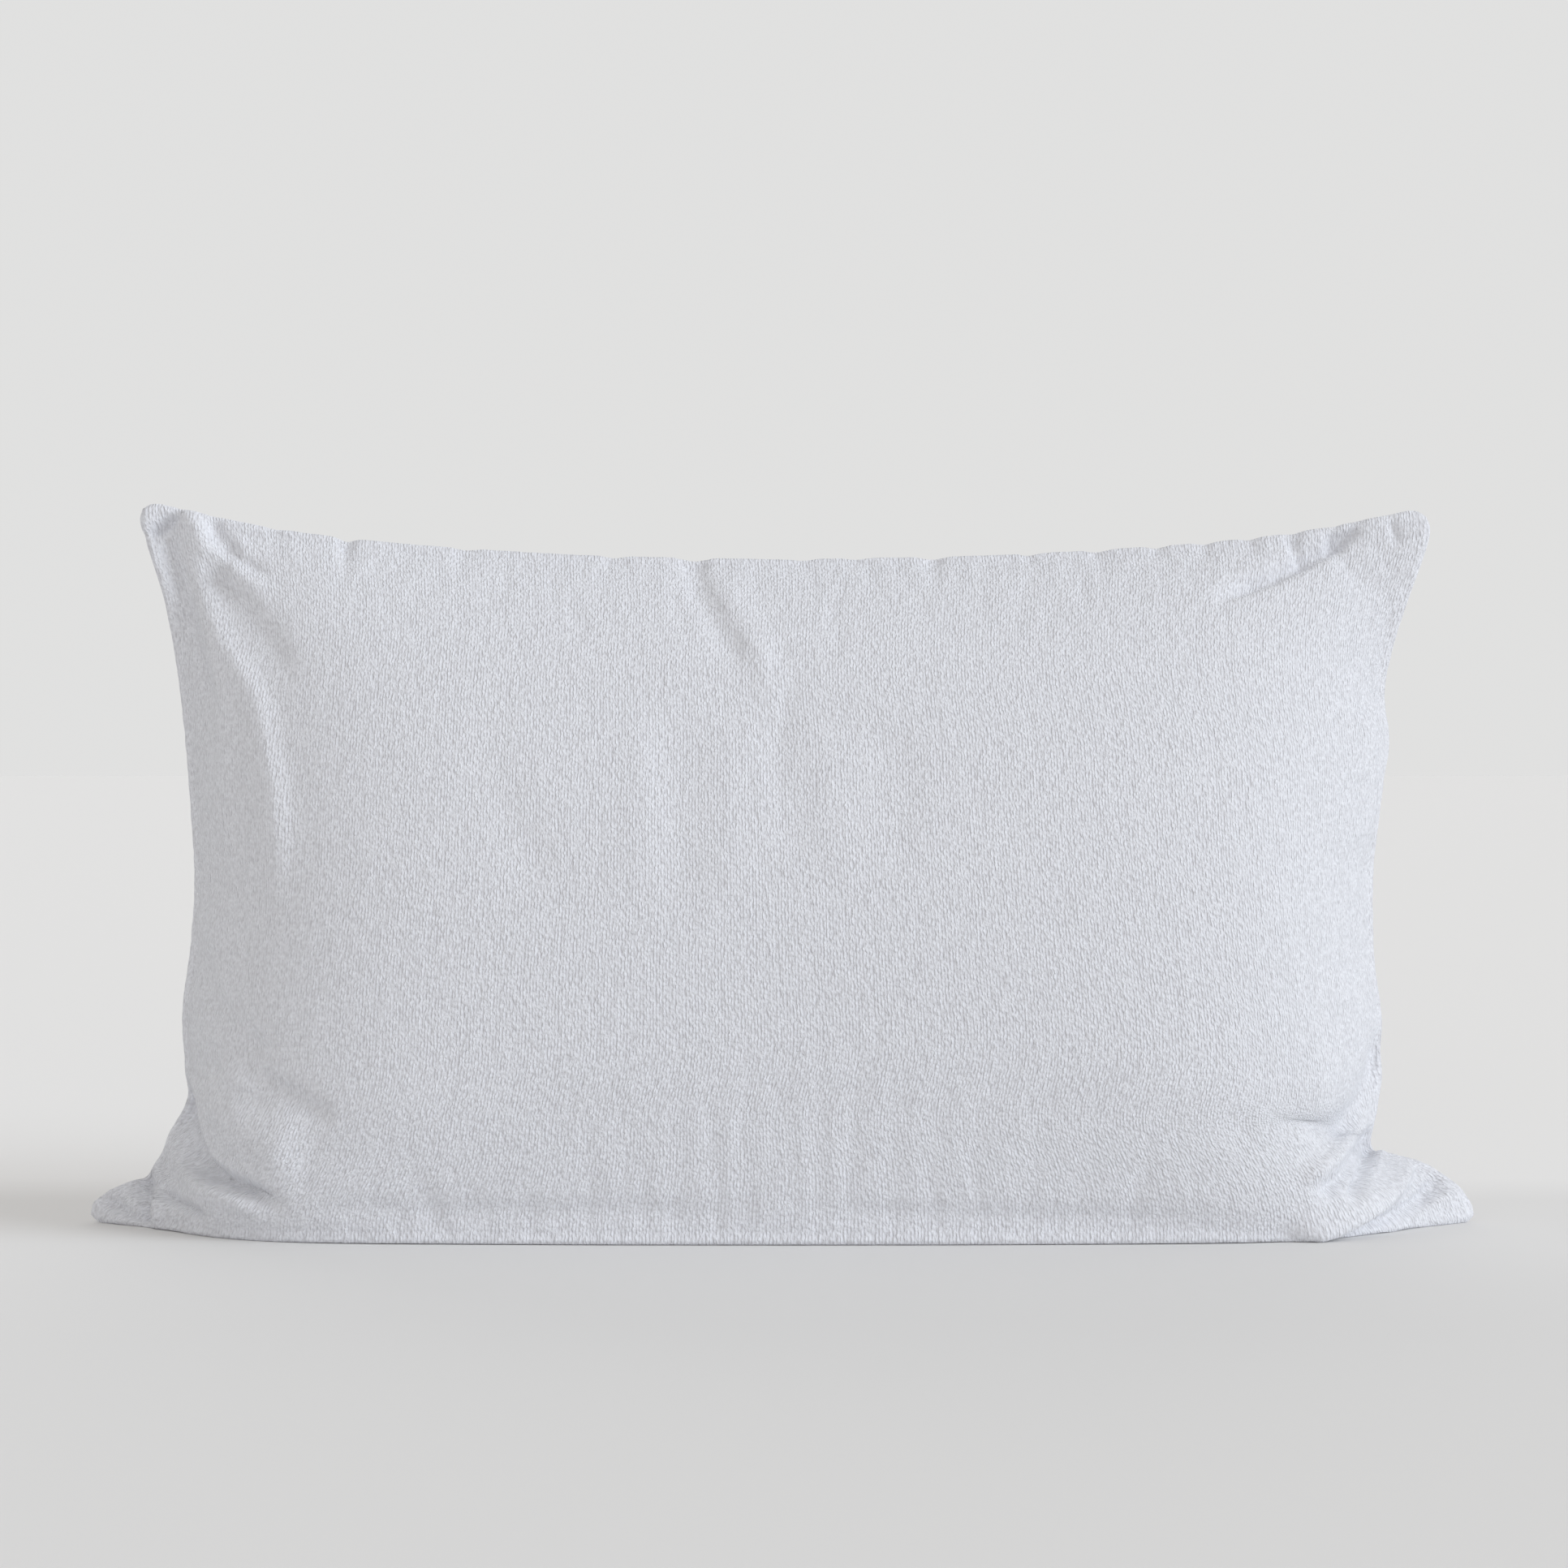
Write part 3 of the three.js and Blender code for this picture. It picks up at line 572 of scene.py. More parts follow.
def add_cloth(cover):
    cloth = cover.modifiers.new("cloth", "CLOTH")
    cloth.collision_settings.use_collision = False
    settings = cloth.settings
    settings.quality = 6
    settings.mass = 0.3
    settings.tension_stiffness = settings.compression_stiffness = 15
    settings.shear_stiffness = 5
    settings.bending_stiffness = CLOTH_BENDING
    settings.use_pressure = True
    settings.uniform_pressure_force = CLOTH_PRESSURE
    settings.vertex_group_mass = "held"
    settings.vertex_group_shrink = "spare"
    settings.shrink_min = -0.002
    settings.shrink_max = -SPARE_CLOTH
    settings.effector_weights.gravity = 0


def settled_cover(front, back):
    """Both panels after the simulation, with their seams held and the cover filled from inside."""
    cover, indexes = closed_cover(front, back)
    mark_seams(cover, indexes)
    add_cloth(cover)
    for number in range(1, CLOTH_FRAMES + 1):
        scene.frame_set(number)
    final = cover.evaluated_get(bpy.context.evaluated_depsgraph_get()).to_mesh()
    points = np.zeros(len(final.vertices) * 3)
    final.vertices.foreach_get("co", points)
    points = points.reshape(-1, 3) / MM
    scene.frame_set(1)
    mesh = cover.data
    bpy.data.objects.remove(cover)
    bpy.data.meshes.remove(mesh)
    return [capped(before, points[index]) for before, index in zip((front, back), indexes)]


def capped(before, after):
    """The settled points, none further than CLOTH_CAP from where it began."""
    move = after - before
    far = np.linalg.norm(move, axis=-1, keepdims=True)
    return kept_above(before + move * np.minimum(1, CLOTH_CAP / np.maximum(far, 1e-6)), PANEL_LOWEST)


# ---- folds, gathers, pile and hems

def seen_from_front(points):
    """Where each point appears from the front, on the upright plane through the origin."""
    depth = VIEW_DISTANCE / (VIEW_DISTANCE + points[..., 1])
    return points[..., 0] * depth, VIEW_HEIGHT + (points[..., 2] - VIEW_HEIGHT) * depth


def nearest_on(line, x, z):
    """How far each place is from a line, on which side, and how far along it, as a share."""
    best, side, share = np.full(x.shape, 1e9), np.zeros(x.shape), np.zeros(x.shape)
    for k in range(len(line) - 1):
        (x0, z0), (dx, dz) = line[k], line[k + 1] - line[k]
        t = np.clip(((x - x0) * dx + (z - z0) * dz) / math.hypot(dx, dz) ** 2, 0, 1)
        away = np.hypot(x - x0 - t * dx, z - z0 - t * dz)
        closer = away < best
        best = np.where(closer, away, best)
        side = np.where(closer, np.sign((x - x0) * dz - (z - z0) * dx), side)
        share = np.where(closer, (k + t) / (len(line) - 1), share)
    return best, side, share


def fold_relief(points):
    """How far the folds push the front out or pull it in."""
    x, z = seen_from_front(points)
    relief = np.zeros(x.shape)
    for height, left_width, right_width, path in FOLDS:
        line = even_curve(path, 8)(np.linspace(0, 1, 5 * len(path)))
        reach = 3 * max(left_width, right_width)
        (low_x, low_z), (high_x, high_z) = line.min(axis=0) - reach, line.max(axis=0) + reach
        near = (x > low_x) & (x < high_x) & (z > low_z) & (z < high_z)
        away, side, share = nearest_on(line, x[near], z[near])
        width = np.where(side < 0, left_width, right_width)
        fade = smoothstep(share, 0, FOLD_FADE) * (1 - smoothstep(share, 1 - FOLD_FADE, 1))
        relief[near] += height * np.exp(-(away / width) ** 2) * fade
    return relief


def gathers(points, cut):
    """Pleats where the top seam was drawn up, and their notches in the outline."""
    x = points[..., 0]
    down = CASE_WIDTH - cut[..., 1]
    relief, dip = np.zeros(x.shape), np.zeros(x.shape)
    for at, depth, width, reach in GATHERS:
        across = np.exp(-((x - at) / width) ** 2)
        relief -= depth * across * np.exp(-down / reach)
        dip -= NOTCH_SHARE * depth * across * np.exp(-(down / NOTCH_REACH) ** 2)
    return relief, dip


def kept_apart(front, back, u, v):
    """The panels, pushed apart where they come nearer to each other than their cloth lets them."""
    normals = smoothed(grid_normals(front, FRONT), 4)
    least = 2 * TERRY * rounded(from_seam(u, v) / 6) * 1.6
    lack = np.maximum(0, least - ((front - back) * normals).sum(axis=-1))[..., None] / 2
    return front + normals * lack, back - normals * lack


def on_zip(x, up, out):
    """A point given along the zip, up across it and out of the cover."""
    x, up, out = np.broadcast_arrays(x, up, out)
    return ZIP_CENTRE + x[..., None] * (1, 0, 0) + up[..., None] * ZIP_UP + out[..., None] * ZIP_OUT


def flat_at_zip(points, u, v):
    """The back runs flat beside the zip, and the cloth eases back to its own shape."""
    across = (v - ZIP_V) * CASE_WIDTH
    flat = on_zip(u * ZIP_X_PER_U, across, 0)
    beside = 1 - smoothstep(np.abs(across), FLAT_BESIDE_ZIP, ZIP_BELOW_TOP_SEAM - 1)
    along = 1 - smoothstep(np.abs(u) * ZIP_X_PER_U, *FLAT_UP_TO)
    share = (beside * along)[..., None]
    return points * (1 - share) + flat * share


def drawn_to_gap(points, u, v):
    """Closes the back panels up to each other where they are sewn beyond the zip."""
    across = (v - ZIP_V) * CASE_WIDTH
    shut = smoothstep(np.abs(u) * ZIP_X_PER_U, *SEWN_SHUT_OVER)
    reach = np.clip((FLAT_BESIDE_ZIP - np.abs(across)) / (FLAT_BESIDE_ZIP - ZIP_OPENING_HALF), 0, 1)
    move = -np.sign(across) * shut * reach * (ZIP_OPENING_HALF - SEWN_GAP_HALF)
    return points + unit(np.gradient(points, axis=0)) * move[..., None]


def hemmed(points, cut, at_top):
    """Turns the edge of a back panel beside the zip under, as a hem."""
    way = -1 if at_top else 1
    points, cut = points[::way], cut[::way]
    under = grid_normals(points, way)[0]
    edge = points[0]
    inward = unit(points[1] - edge)
    rows, cuts = [], []
    for angle in np.linspace(math.pi, math.pi / 4, 4):
        sink = HEM_ROLL * (1 - math.cos(angle))
        rows.append(edge - inward * HEM_ROLL * math.sin(angle) + under * sink)
        cuts.append(cut[0] + (0, -angle * HEM_ROLL))
    rows.insert(0, rows[0] + inward * HEM_DEPTH)
    cuts.insert(0, cuts[0] - (0, HEM_DEPTH))
    return np.concatenate([rows, points])[::way], np.concatenate([cuts, cut])[::way]


def piled(points, cut, side):
    """Adds the uneven pile: broken upright dashes, as rows of loops make them."""
    x, y = cut[..., 0], cut[..., 1]
    seed = 1 if side == FRONT else 11
    pile = sum(height * value_noise(x / wide + x_start, y / tall + y_start, seed + number)
               for number, (height, wide, tall, x_start, y_start) in enumerate(PILE_DASHES))
    pile = pile * smoothstep(from_seam(2 * x / CASE_LENGTH, y / CASE_WIDTH), *PILE_FROM_SEAM)
    return kept_above(points + grid_normals(points, side) * pile[..., None], PILE_LOWEST)


def cover_surfaces(front, back):
    """Both panels as smooth surfaces with their folds and gathers, and their place on the cut."""
    u, v = even_grid(*PANEL_GRID)
    cut = on_cut(u, v)
    front, back = kept_apart(sampled(front, u[0], v[:, 0]), sampled(back, u[0], v[:, 0]), u, v)
    gap = np.linalg.norm(front - back, axis=-1)
    back = flat_at_zip(back, u, v)
    ahead = smoothed(grid_normals(front, FRONT), 6)
    folds = fold_relief(front) * smoothstep(from_seam(u, v), *FOLDS_FROM_SEAM)
    settled = SETTLED * (1 - smoothstep(v * CASE_WIDTH, *SETTLED_OVER))
    overhang = 1 - smoothstep(v * CASE_WIDTH, *UNDER_FOLDS_OVER)
    made = []
    for points, side in ((front, FRONT), (back, BACK)):
        relief, dip = gathers(points, cut)
        relief = np.maximum(relief, -0.35 * gap)
        push = folds * (1 if side == FRONT else np.exp(-(gap / FOLDS_THROUGH) ** 2))
        out = smoothed(grid_normals(points, side), 6)
        points = points + out * relief[..., None] + ahead * push[..., None]
        points[..., 2] += dip - settled
        points[..., 2] -= SETTLED_UNDER_FOLDS * np.maximum(push, 0) * overhang
        made.append(kept_above(points, PILE_LOWEST))
    return (*made, cut)


# ---- materials

def feed(tree, socket, value):
    """Sets an input of a node, or links it to another node's output."""
    if isinstance(value, bpy.types.NodeSocket):
        tree.links.new(value, socket)
    else:
        socket.default_value = value


def fed(tree, made, inputs):
    """The node with its inputs fed. Their names have _ for each space."""
    for name, value in inputs.items():
        feed(tree, made.inputs[name.replace("_", " ")], value)
    return made


def node(tree, kind, **inputs):
    return fed(tree, tree.nodes.new(f"ShaderNode{kind}"), inputs)


def new_material(name, colour, **inputs):
    material = bpy.data.materials.new(name)
    material.use_nodes = True
    tree = material.node_tree
    shader = fed(tree, tree.nodes["Principled BSDF"], {"Base Color": (*colour, 1), **inputs})
    return material, tree, shader


def maths(tree, operation, *values):
    made = node(tree, "Math")
    made.operation = operation
    for socket, value in zip(made.inputs, values):
        feed(tree, socket, value)
    return made.outputs[0]


def weighted_sum(tree, *terms):
    total, *others = [maths(tree, "MULTIPLY", value, weight) for value, weight in terms]
    for other in others:
        total = maths(tree, "ADD", total, other)
    return total


def add_bump(tree, shader, height, strength, distance):
    bump = node(tree, "Bump", Strength=strength, Distance=distance, Height=height)
    tree.links.new(bump.outputs["Normal"], shader.inputs["Normal"])


def add_colours(tree, shader, factor, dark, light):
    mix = node(tree, "Mix")
    mix.data_type = "RGBA"
    fed(tree, mix, {"A": (*dark, 1), "B": (*light, 1), "Factor": factor})
    tree.links.new(mix.outputs["Result"], shader.inputs["Base Color"])


def share_of(tree, value, low, high, **results):
    return node(tree, "MapRange", Value=value, From_Min=low, From_Max=high, **results).outputs[0]


def noise_at(tree, place, scale, detail):
    noise = node(tree, "TexNoise", Vector=place, Scale=scale, Detail=detail, Roughness=0.6)
    return noise.outputs["Fac"]


def cut_place(tree):
    """The place on the flat cloth, in metres."""
    cut = node(tree, "Attribute")
    cut.attribute_name = "cut"
    return cut.outputs["Vector"]


def terry_material():
    """Wales of upright loops, deeper between them, where painted shade darkens the colour; the loops' random
    tone varies it too.
    """
    material, tree, shader = new_material(
        "terry_cotton", TERRY_COLOUR, Roughness=0.95, Specular_IOR_Level=0.15,
        Sheen_Weight=0.35, Sheen_Roughness=0.6, Sheen_Tint=(0.95, 0.97, 1, 1))
    stretch = node(tree, "VectorMath")
    stretch.operation = "MULTIPLY"
    feed(tree, stretch.inputs[1], (1 / LOOP_WIDTH, 1 / LOOP_LENGTH, 1))
    feed(tree, stretch.inputs[0], cut_place(tree))
    place = stretch.outputs[0]
    loops = noise_at(tree, place, 1, 2)
    gaps = node(tree, "TexVoronoi", Vector=place, Scale=1.1, Randomness=0.9).outputs["Distance"]
    across = node(tree, "SeparateXYZ", Vector=place).outputs["X"]
    warped = maths(tree, "ADD", across, maths(tree, "MULTIPLY", loops, 1.4))
    wale = maths(tree, "SINE", maths(tree, "MULTIPLY", warped, 2 * math.pi))
    height = weighted_sum(tree, (wale, 0.1), (gaps, -0.75), (loops, 0.8))
    add_bump(tree, shader, height, 0.95, LOOP_HEIGHT)
    # painted shade and random tone: the colour follows the pile's height, darker deep between the loops
    add_colours(tree, shader, share_of(tree, height, -0.45, 0.75), TERRY_PAINTED_SHADE, LIGHT_TERRY)
    return material


def woven_material(name, dark, light, thread_x, thread_y, roughness, bump, sheen=0.1, diagonal=0):
    """Threads over and under each other on the flat cut, thread_x and thread_y metres apart."""
    material, tree, shader = new_material(
        name, light, Roughness=roughness, Sheen_Weight=sheen, Specular_IOR_Level=0.25)
    cut = cut_place(tree)
    split = node(tree, "SeparateXYZ", Vector=cut)
    x = maths(tree, "MULTIPLY", split.outputs["X"], 2 * math.pi / thread_x)
    y = maths(tree, "MULTIPLY", split.outputs["Y"], 2 * math.pi / thread_y)
    leaning = maths(tree, "ADD", x, maths(tree, "MULTIPLY", y, diagonal))
    weave = maths(tree, "MULTIPLY", maths(tree, "SINE", leaning), maths(tree, "SINE", y))
    uneven = noise_at(tree, cut, 900, 3)
    height = weighted_sum(tree, (weave, 0.5), (uneven, 0.7))
    add_bump(tree, shader, height, 0.8, bump)
    add_colours(tree, shader, share_of(tree, height, -0.3, 0.9), dark, light)
    return material


def speckled_material(name, dark, light, scale, roughness, bump, stretch=(1, 1, 1), sheen=0, metallic=0):
    """Fibre, nylon or brushed metal: fine noise in colour, roughness and bump, on the piece's own place."""
    material, tree, shader = new_material(
        name, light, Roughness=roughness, Metallic=metallic, Sheen_Weight=sheen)
    place = node(tree, "TexCoord").outputs["Object"]
    mapping = node(tree, "Mapping", Vector=place, Scale=stretch)
    noise = noise_at(tree, mapping.outputs[0], scale, 4)
    add_bump(tree, shader, noise, 0.6, bump)
    add_colours(tree, shader, noise, dark, light)
    rough = share_of(tree, noise, 0.3, 0.7, To_Min=roughness * 0.8, To_Max=min(1, roughness * 1.25))
    tree.links.new(rough, shader.inputs["Roughness"])
    return material


TERRY_MATERIAL = terry_material()
TICKING_MATERIAL = woven_material(
    "ticking_cotton", (0.62, 0.62, 0.61), (0.82, 0.82, 0.81), 0.0009, 0.0007, 0.85, 0.0002)
TAPE_MATERIAL = woven_material(
    "zip_tape", (0.55, 0.56, 0.58), (0.84, 0.85, 0.87), 0.0016, 0.0011, 0.7, 0.0003, diagonal=0.5)
LABEL_MATERIAL = woven_material(
    "label_satin", (0.78, 0.78, 0.78), (0.9, 0.9, 0.9), 0.0006, 0.0004, 0.35, 0.00005)
ALLOWANCE_MATERIAL = woven_material(
    "seam_allowance", (0.5, 0.5, 0.51), (0.78, 0.79, 0.81), 0.0026, 0.0022, 0.95, 0.0008, sheen=0.3)
THREAD_MATERIAL = speckled_material(
    "sewing_thread", (0.7, 0.71, 0.73), (0.9, 0.91, 0.94), 2600, 0.6, 0.0001, (1, 4, 4), sheen=0.2)
FIBRE_MATERIAL = speckled_material(
    "polyester_fibre", (0.72, 0.72, 0.72), (0.92, 0.92, 0.92), 160, 0.9, 0.003, (1, 1, 2.5), sheen=0.4)
NYLON_MATERIAL = speckled_material(
    "nylon_coil", (0.78, 0.79, 0.81), (0.88, 0.89, 0.91), 900, 0.32, 0.00003)
NICKEL_MATERIAL = speckled_material(
    "brushed_nickel", (0.4, 0.39, 0.375), (0.62, 0.61, 0.585), 1500, 0.27, 0.00004, (0.15, 1, 1), metallic=1)


# ---- the cover

def add_panel(name, points, cut, node_name, flip=False):
    piece = grid_piece(name, points, cut, flip)
    finish_piece(piece, TERRY_MATERIAL, "terry", node_name)


def add_back(name, shares, at_top):
    u, v = np.meshgrid(np.linspace(-1, 1, PANEL_GRID[0]), shares)
    cut = on_cut(u, v)
    surface = piled(drawn_to_gap(picked(back_surface, u, v), u, v), cut, BACK)
    surface, cut = hemmed(surface, cut, at_top)
    add_panel(f"back_panel_{name}", surface, cut, f"case_back_panel_{name}", flip=True)


panels = [coarse_panel(FRONT), coarse_panel(BACK)]
panels[1][0], panels[1][-1] = panels[0][0], panels[0][-1]
panels = settled_cover(*panels)

front_surface, back_surface, panel_cut = cover_surfaces(*panels)
middle_surface = (front_surface + back_surface) / 2
add_panel("front_panel", piled(front_surface, panel_cut, FRONT), panel_cut, "case_front_panel")
zip_half = ZIP_OPENING_HALF / CASE_WIDTH
add_back("lower", np.linspace(0, ZIP_V - zip_half, ROWS_BELOW_ZIP), True)
add_back("upper", np.linspace(ZIP_V + zip_half, 1, ROWS_ABOVE_ZIP), False)


# ---- inside the cover

def least_near(values, steps):
    """The least of the values around each, so that what lies under a fold stays under it."""
    for _ in range(steps):
        padded = np.pad(values, 1, mode="edge")
        beside = np.minimum(padded[1:-1, :-2], padded[1:-1, 2:])
        values = np.minimum.reduce([values, padded[:-2, 1:-1], padded[2:, 1:-1], beside])
    return values


def inner_grid(side, inset, lining, columns, rows, rise=70):
    """A layer inside the cover, its own seam at inset from the cover's, and its place on the cut."""
    s, t = even_grid(columns, rows)
    u = s * (1 - 2 * inset / CASE_LENGTH)
    v = inset / CASE_WIDTH + t * (1 - 2 * inset / CASE_WIDTH)
    middle = picked(middle_surface, u, v)
    out = picked(front_surface if side == FRONT else back_surface, u, v) - middle
    half = np.linalg.norm(out, axis=-1)
    clear = least_near(half, max(1, columns // 100))
    from_end = (1 - np.abs(s)) * (CASE_LENGTH / 2 - inset)
    from_edge = np.minimum(t, 1 - t) * (CASE_WIDTH - 2 * inset)
    puff = rounded(np.minimum(from_end, from_edge) / rise)
    share = np.clip((clear - lining) / np.maximum(half, 1e-6), 0.03, 1) * puff
    return kept_above(middle + out * share[..., None], INNER_LOWEST), on_cut(u, v)


def add_ticking(side, name):
    points, cut = inner_grid(side, TICKING_INSET, TICKING_DEPTH, *TICKING_GRID)
    ripple = 0.7 * value_noise(cut[..., 0] / 30, cut[..., 1] / 22, 31 + side)
    points = points + grid_normals(points, side) * np.minimum(ripple, 0.2)[..., None]
    piece = grid_piece(f"{name}_cloth", points, cut, flip=side == BACK)
    finish_piece(piece, TICKING_MATERIAL, "ticking", name)


def add_filling():
    near, cut = inner_grid(FRONT, FILLING_INSET, FILLING_DEPTH, *FILLING_GRID)
    far, _ = inner_grid(BACK, FILLING_INSET, FILLING_DEPTH, *FILLING_GRID)
    lumps = LUMP_HEIGHT * value_noise(cut[..., 0] / LUMP_SIZE, cut[..., 1] / LUMP_SIZE, 41) - LUMP_HEIGHT
    fade = smoothstep(from_seam(*even_grid(*FILLING_GRID)), 0, 60)
    near = near + grid_normals(near, FRONT) * lumps[..., None] * fade[..., None]
    filling = closed_between("fibre_filling", near, far, cut)
    finish_piece(filling, FIBRE_MATERIAL, "filling", "fibre_fill")


def loop_on_cut(inset, radius, step):
    """A rounded rectangle on the cut, at inset from the seams, as u and v."""
    a, b = CASE_LENGTH / 2 - inset - radius, CASE_WIDTH / 2 - inset - radius
    outline = []
    for x, y, start in ((a, -b, -90), (a, b, 0), (-a, b, 90), (-a, -b, 180)):
        for turn in np.radians(np.linspace(start, start + 90, 9)):
            outline.append((x + radius * math.cos(turn), y + radius * math.sin(turn)))
    outline = np.array([*outline, outline[0]])
    run = lengthwise(outline)
    x, y = along_line(np.linspace(0, run[-1], int(run[-1] / step), endpoint=False), run, outline).T
    return 2 * x / CASE_LENGTH, 0.5 + y / CASE_WIDTH


def add_piping():
    u, v = loop_on_cut(PIPING_INSET, PIPING_CORNER, 2.2)
    path = kept_above(picked(middle_surface, u, v), PIPING_LOWEST)
    turns = len(path) / PIPING_TWIST
    points = tube_points(path, PIPING_RADIUS, 10, (0, 1, 0), 0.08, turns)
    piece = piece_from("ticking_cord", points, ring_faces(len(path), 10, closed=True))
    finish_piece(piece, TICKING_MATERIAL, "ticking", "ticking_piping")


def measured_in(u, v, inward_u, inward_v, distances):
    """The middle surface at these true distances in from a seam, and its place on the cut."""
    steps = np.linspace(0, 45, 46)[:, None]
    un, vn = u + inward_u * steps / (CASE_LENGTH / 2), v + inward_v * steps / CASE_WIDTH
    points = picked(middle_surface, un, vn)
    columns = [along_line(distances, lengthwise(line), line) for line in points.transpose(1, 0, 2)]
    out = np.stack(columns, axis=1)
    return out, np.stack(np.broadcast_arrays(lengthwise(out[0]), distances[:, None]), axis=-1)


def add_overlock(name, centre, out):
    """The thread that runs to and fro over a seam's two edges."""
    rows, count = centre.shape[:2]
    pick = np.arange(count)
    row = 2 + 3 * np.abs(pick % 8 / 4 - 1)
    low, part = row.astype(int), (row % 1)[:, None]
    line = centre[low, pick] * (1 - part) + centre[np.minimum(low + 1, rows - 1), pick] * part
    lift = out[low, pick]
    thread = tube_points(line + lift * 0.95, OVERLOCK_RADIUS, 5, lift.mean(axis=0))
    finish_piece(piece_from(f"{name}_overlock", thread, ring_faces(count, 5)), THREAD_MATERIAL, "thread")


def add_allowance(side, u, v, inward_u, inward_v):
    """The turned-in edges of two panels, overlocked together, along one seam."""
    centre, cut = measured_in(u, v, inward_u, inward_v, ALLOWANCE_FROM_SEAM)
    out = unit(np.cross(np.gradient(centre, axis=1), np.gradient(centre, axis=0)))
    bulge = ALLOWANCE_HALF * np.sin(math.pi * np.linspace(0.12, 0.88, len(centre)))[:, None, None]
    strip = closed_between(f"{side}_allowance", centre + out * bulge, centre - out * bulge, cut)
    finish_piece(strip, ALLOWANCE_MATERIAL, "seam_edge", f"case_{side}_seam")
    add_overlock(f"{side}_allowance", centre, out)


def add_allowances():
    u, v = np.linspace(-0.9, 0.9, 520), np.linspace(0.09, 0.91, 300)
    add_allowance("bottom", u, np.zeros_like(u), 0, 1)
    add_allowance("top", u, np.ones_like(u), 0, -1)
    add_allowance("left", -np.ones_like(v), v, 1, 0)
    add_allowance("right", np.ones_like(v), v, -1, 0)


# ---- labels

def found_on(surface, x, z, step=0.004):
    """The points of a surface at these x and z, found from the grid point nearest to their middle."""
    far = np.hypot(surface[..., 0] - x.mean(), surface[..., 2] - z.mean())
    j, i = np.unravel_index(np.argmin(far), far.shape)
    u = np.full(x.shape, 2 * i / (surface.shape[1] - 1) - 1)
    v = np.full(x.shape, j / (surface.shape[0] - 1))
    for _ in range(12):
        at = picked(surface, u, v)
        by_u = (picked(surface, u + step, v) - at) / step
        by_v = (picked(surface, u, v + step) - at) / step
        miss_x, miss_z = x - at[..., 0], z - at[..., 2]
        area = by_u[..., 0] * by_v[..., 2] - by_v[..., 0] * by_u[..., 2]
        u = u + (miss_x * by_v[..., 2] - miss_z * by_v[..., 0]) / area
        v = v + (miss_z * by_u[..., 0] - miss_x * by_u[..., 2]) / area
    return picked(surface, u, v)


def add_label(name, node_name, surface, centre, size, height):
    """A blank satin label on a back surface, sewn along its top, its free end a little curled."""
    columns, rows = 19, 33
    across, down = even_grid(columns, rows)
    across, down = across / 2 * size[0], (down - 0.5) * size[1]
    points = found_on(smoothed(surface, 12), centre[0] + across, centre[1] + down)
    out = grid_normals(points, BACK)
    free = np.linspace(1, 0, rows)[:, None]
    lift = height + LABEL_CURL * free ** 3 + 0.2 * np.sin(np.linspace(0, 3.5, rows))[:, None]
    near, far = (points + out * (lift + way * LABEL_THICKNESS / 2)[..., None] for way in (1, -1))
    label = closed_between(name, far, near, np.stack([across, down], axis=-1))
    finish_piece(label, LABEL_MATERIAL, "label", node_name)
    sewn = points[-3, 1:-1] + out[-3, 1:-1] * (height + 0.45)
    stitches = stitch_row(f"{name}_stitches", sewn, out[-3, 1:-1], length=1.6, pitch=2.2, radius=0.2)
    finish_piece(stitches, THREAD_MATERIAL, "thread")


def add_labels():
    add_label("care_label", "case_care_label", back_surface, *CARE_LABEL)
    ticking_back, _ = inner_grid(BACK, TICKING_INSET, TICKING_DEPTH, *PANEL_GRID)
    add_label("ticking_label", "ticking_care_label", ticking_back, *TICKING_LABEL)


# ---- the zip

def add_tape(name, way):
    x, up = np.meshgrid(np.linspace(-TAPE_HALF_LENGTH, TAPE_HALF_LENGTH, 640),
                        np.linspace(TAPE_INNER, TAPE_OUTER, 12))
    ribs = 0.06 * np.cos(2 * math.pi * x / 1.8) + 0.05 * np.cos(2 * math.pi * up / 1.3)
    selvedge = 0.12 * np.exp(-((up - TAPE_OUTER + 0.8) / 0.6) ** 2)
    at_edge = (up < TAPE_INNER + 0.1) | (up > TAPE_OUTER - 0.1)
    half = np.where(at_edge, TAPE_EDGE_HALF, 0.5 * TAPE_THICKNESS - TAPE_EDGE_HALF)
    middle = TAPE_TOP - TAPE_THICKNESS / 2
    faces = [on_zip(x, way * up, middle - half), on_zip(x, way * up, middle + half + ribs + selvedge)]
    piece = closed_between(f"zip_{name}_tape", *faces[::way], np.stack([x, up], axis=-1))
    finish_piece(piece, TAPE_MATERIAL, "zip_tape", f"zip_tape_{name}")


def add_coil(name, way, per_turn=12):
    """One side's spiral, half a pitch beside the other's, so that the two mesh."""
    turns = int(2 * (COIL_HALF_LENGTH - 1) / COIL_PITCH)
    turn = np.arange(turns * per_turn + 1) / per_turn
    low, high = COIL_REACH
    angle = 2 * math.pi * turn
    head = np.cos(angle)
    up = (low + high) / 2 + (high - low) / 2 * np.sign(head) * np.abs(head) ** 0.7
    x = -COIL_HALF_LENGTH + 1 + turn * COIL_PITCH + (0.5 * COIL_PITCH if way < 0 else 0)
    path = on_zip(x, way * up, COIL_MIDDLE + 0.5 * np.sin(angle))
    piece = piece_from(f"zip_{name}_coil", tube_points(path, COIL_WIRE, 6, (1, 0.02, 0.01)),
                       ring_faces(len(path), 6))
    finish_piece(piece, NYLON_MATERIAL, "zip_coil", f"zip_coil_{name}")


def add_topstitch(name, way):
    x = np.linspace(-TAPE_HALF_LENGTH, TAPE_HALF_LENGTH, 900)
    path = on_zip(x, way * STITCH_FROM_CENTRE, 0.5)
    piece = stitch_row(f"zip_{name}_stitches", path, np.tile(ZIP_OUT, (len(x), 1)))
    finish_piece(piece, THREAD_MATERIAL, "thread", f"zip_topstitch_{name}")


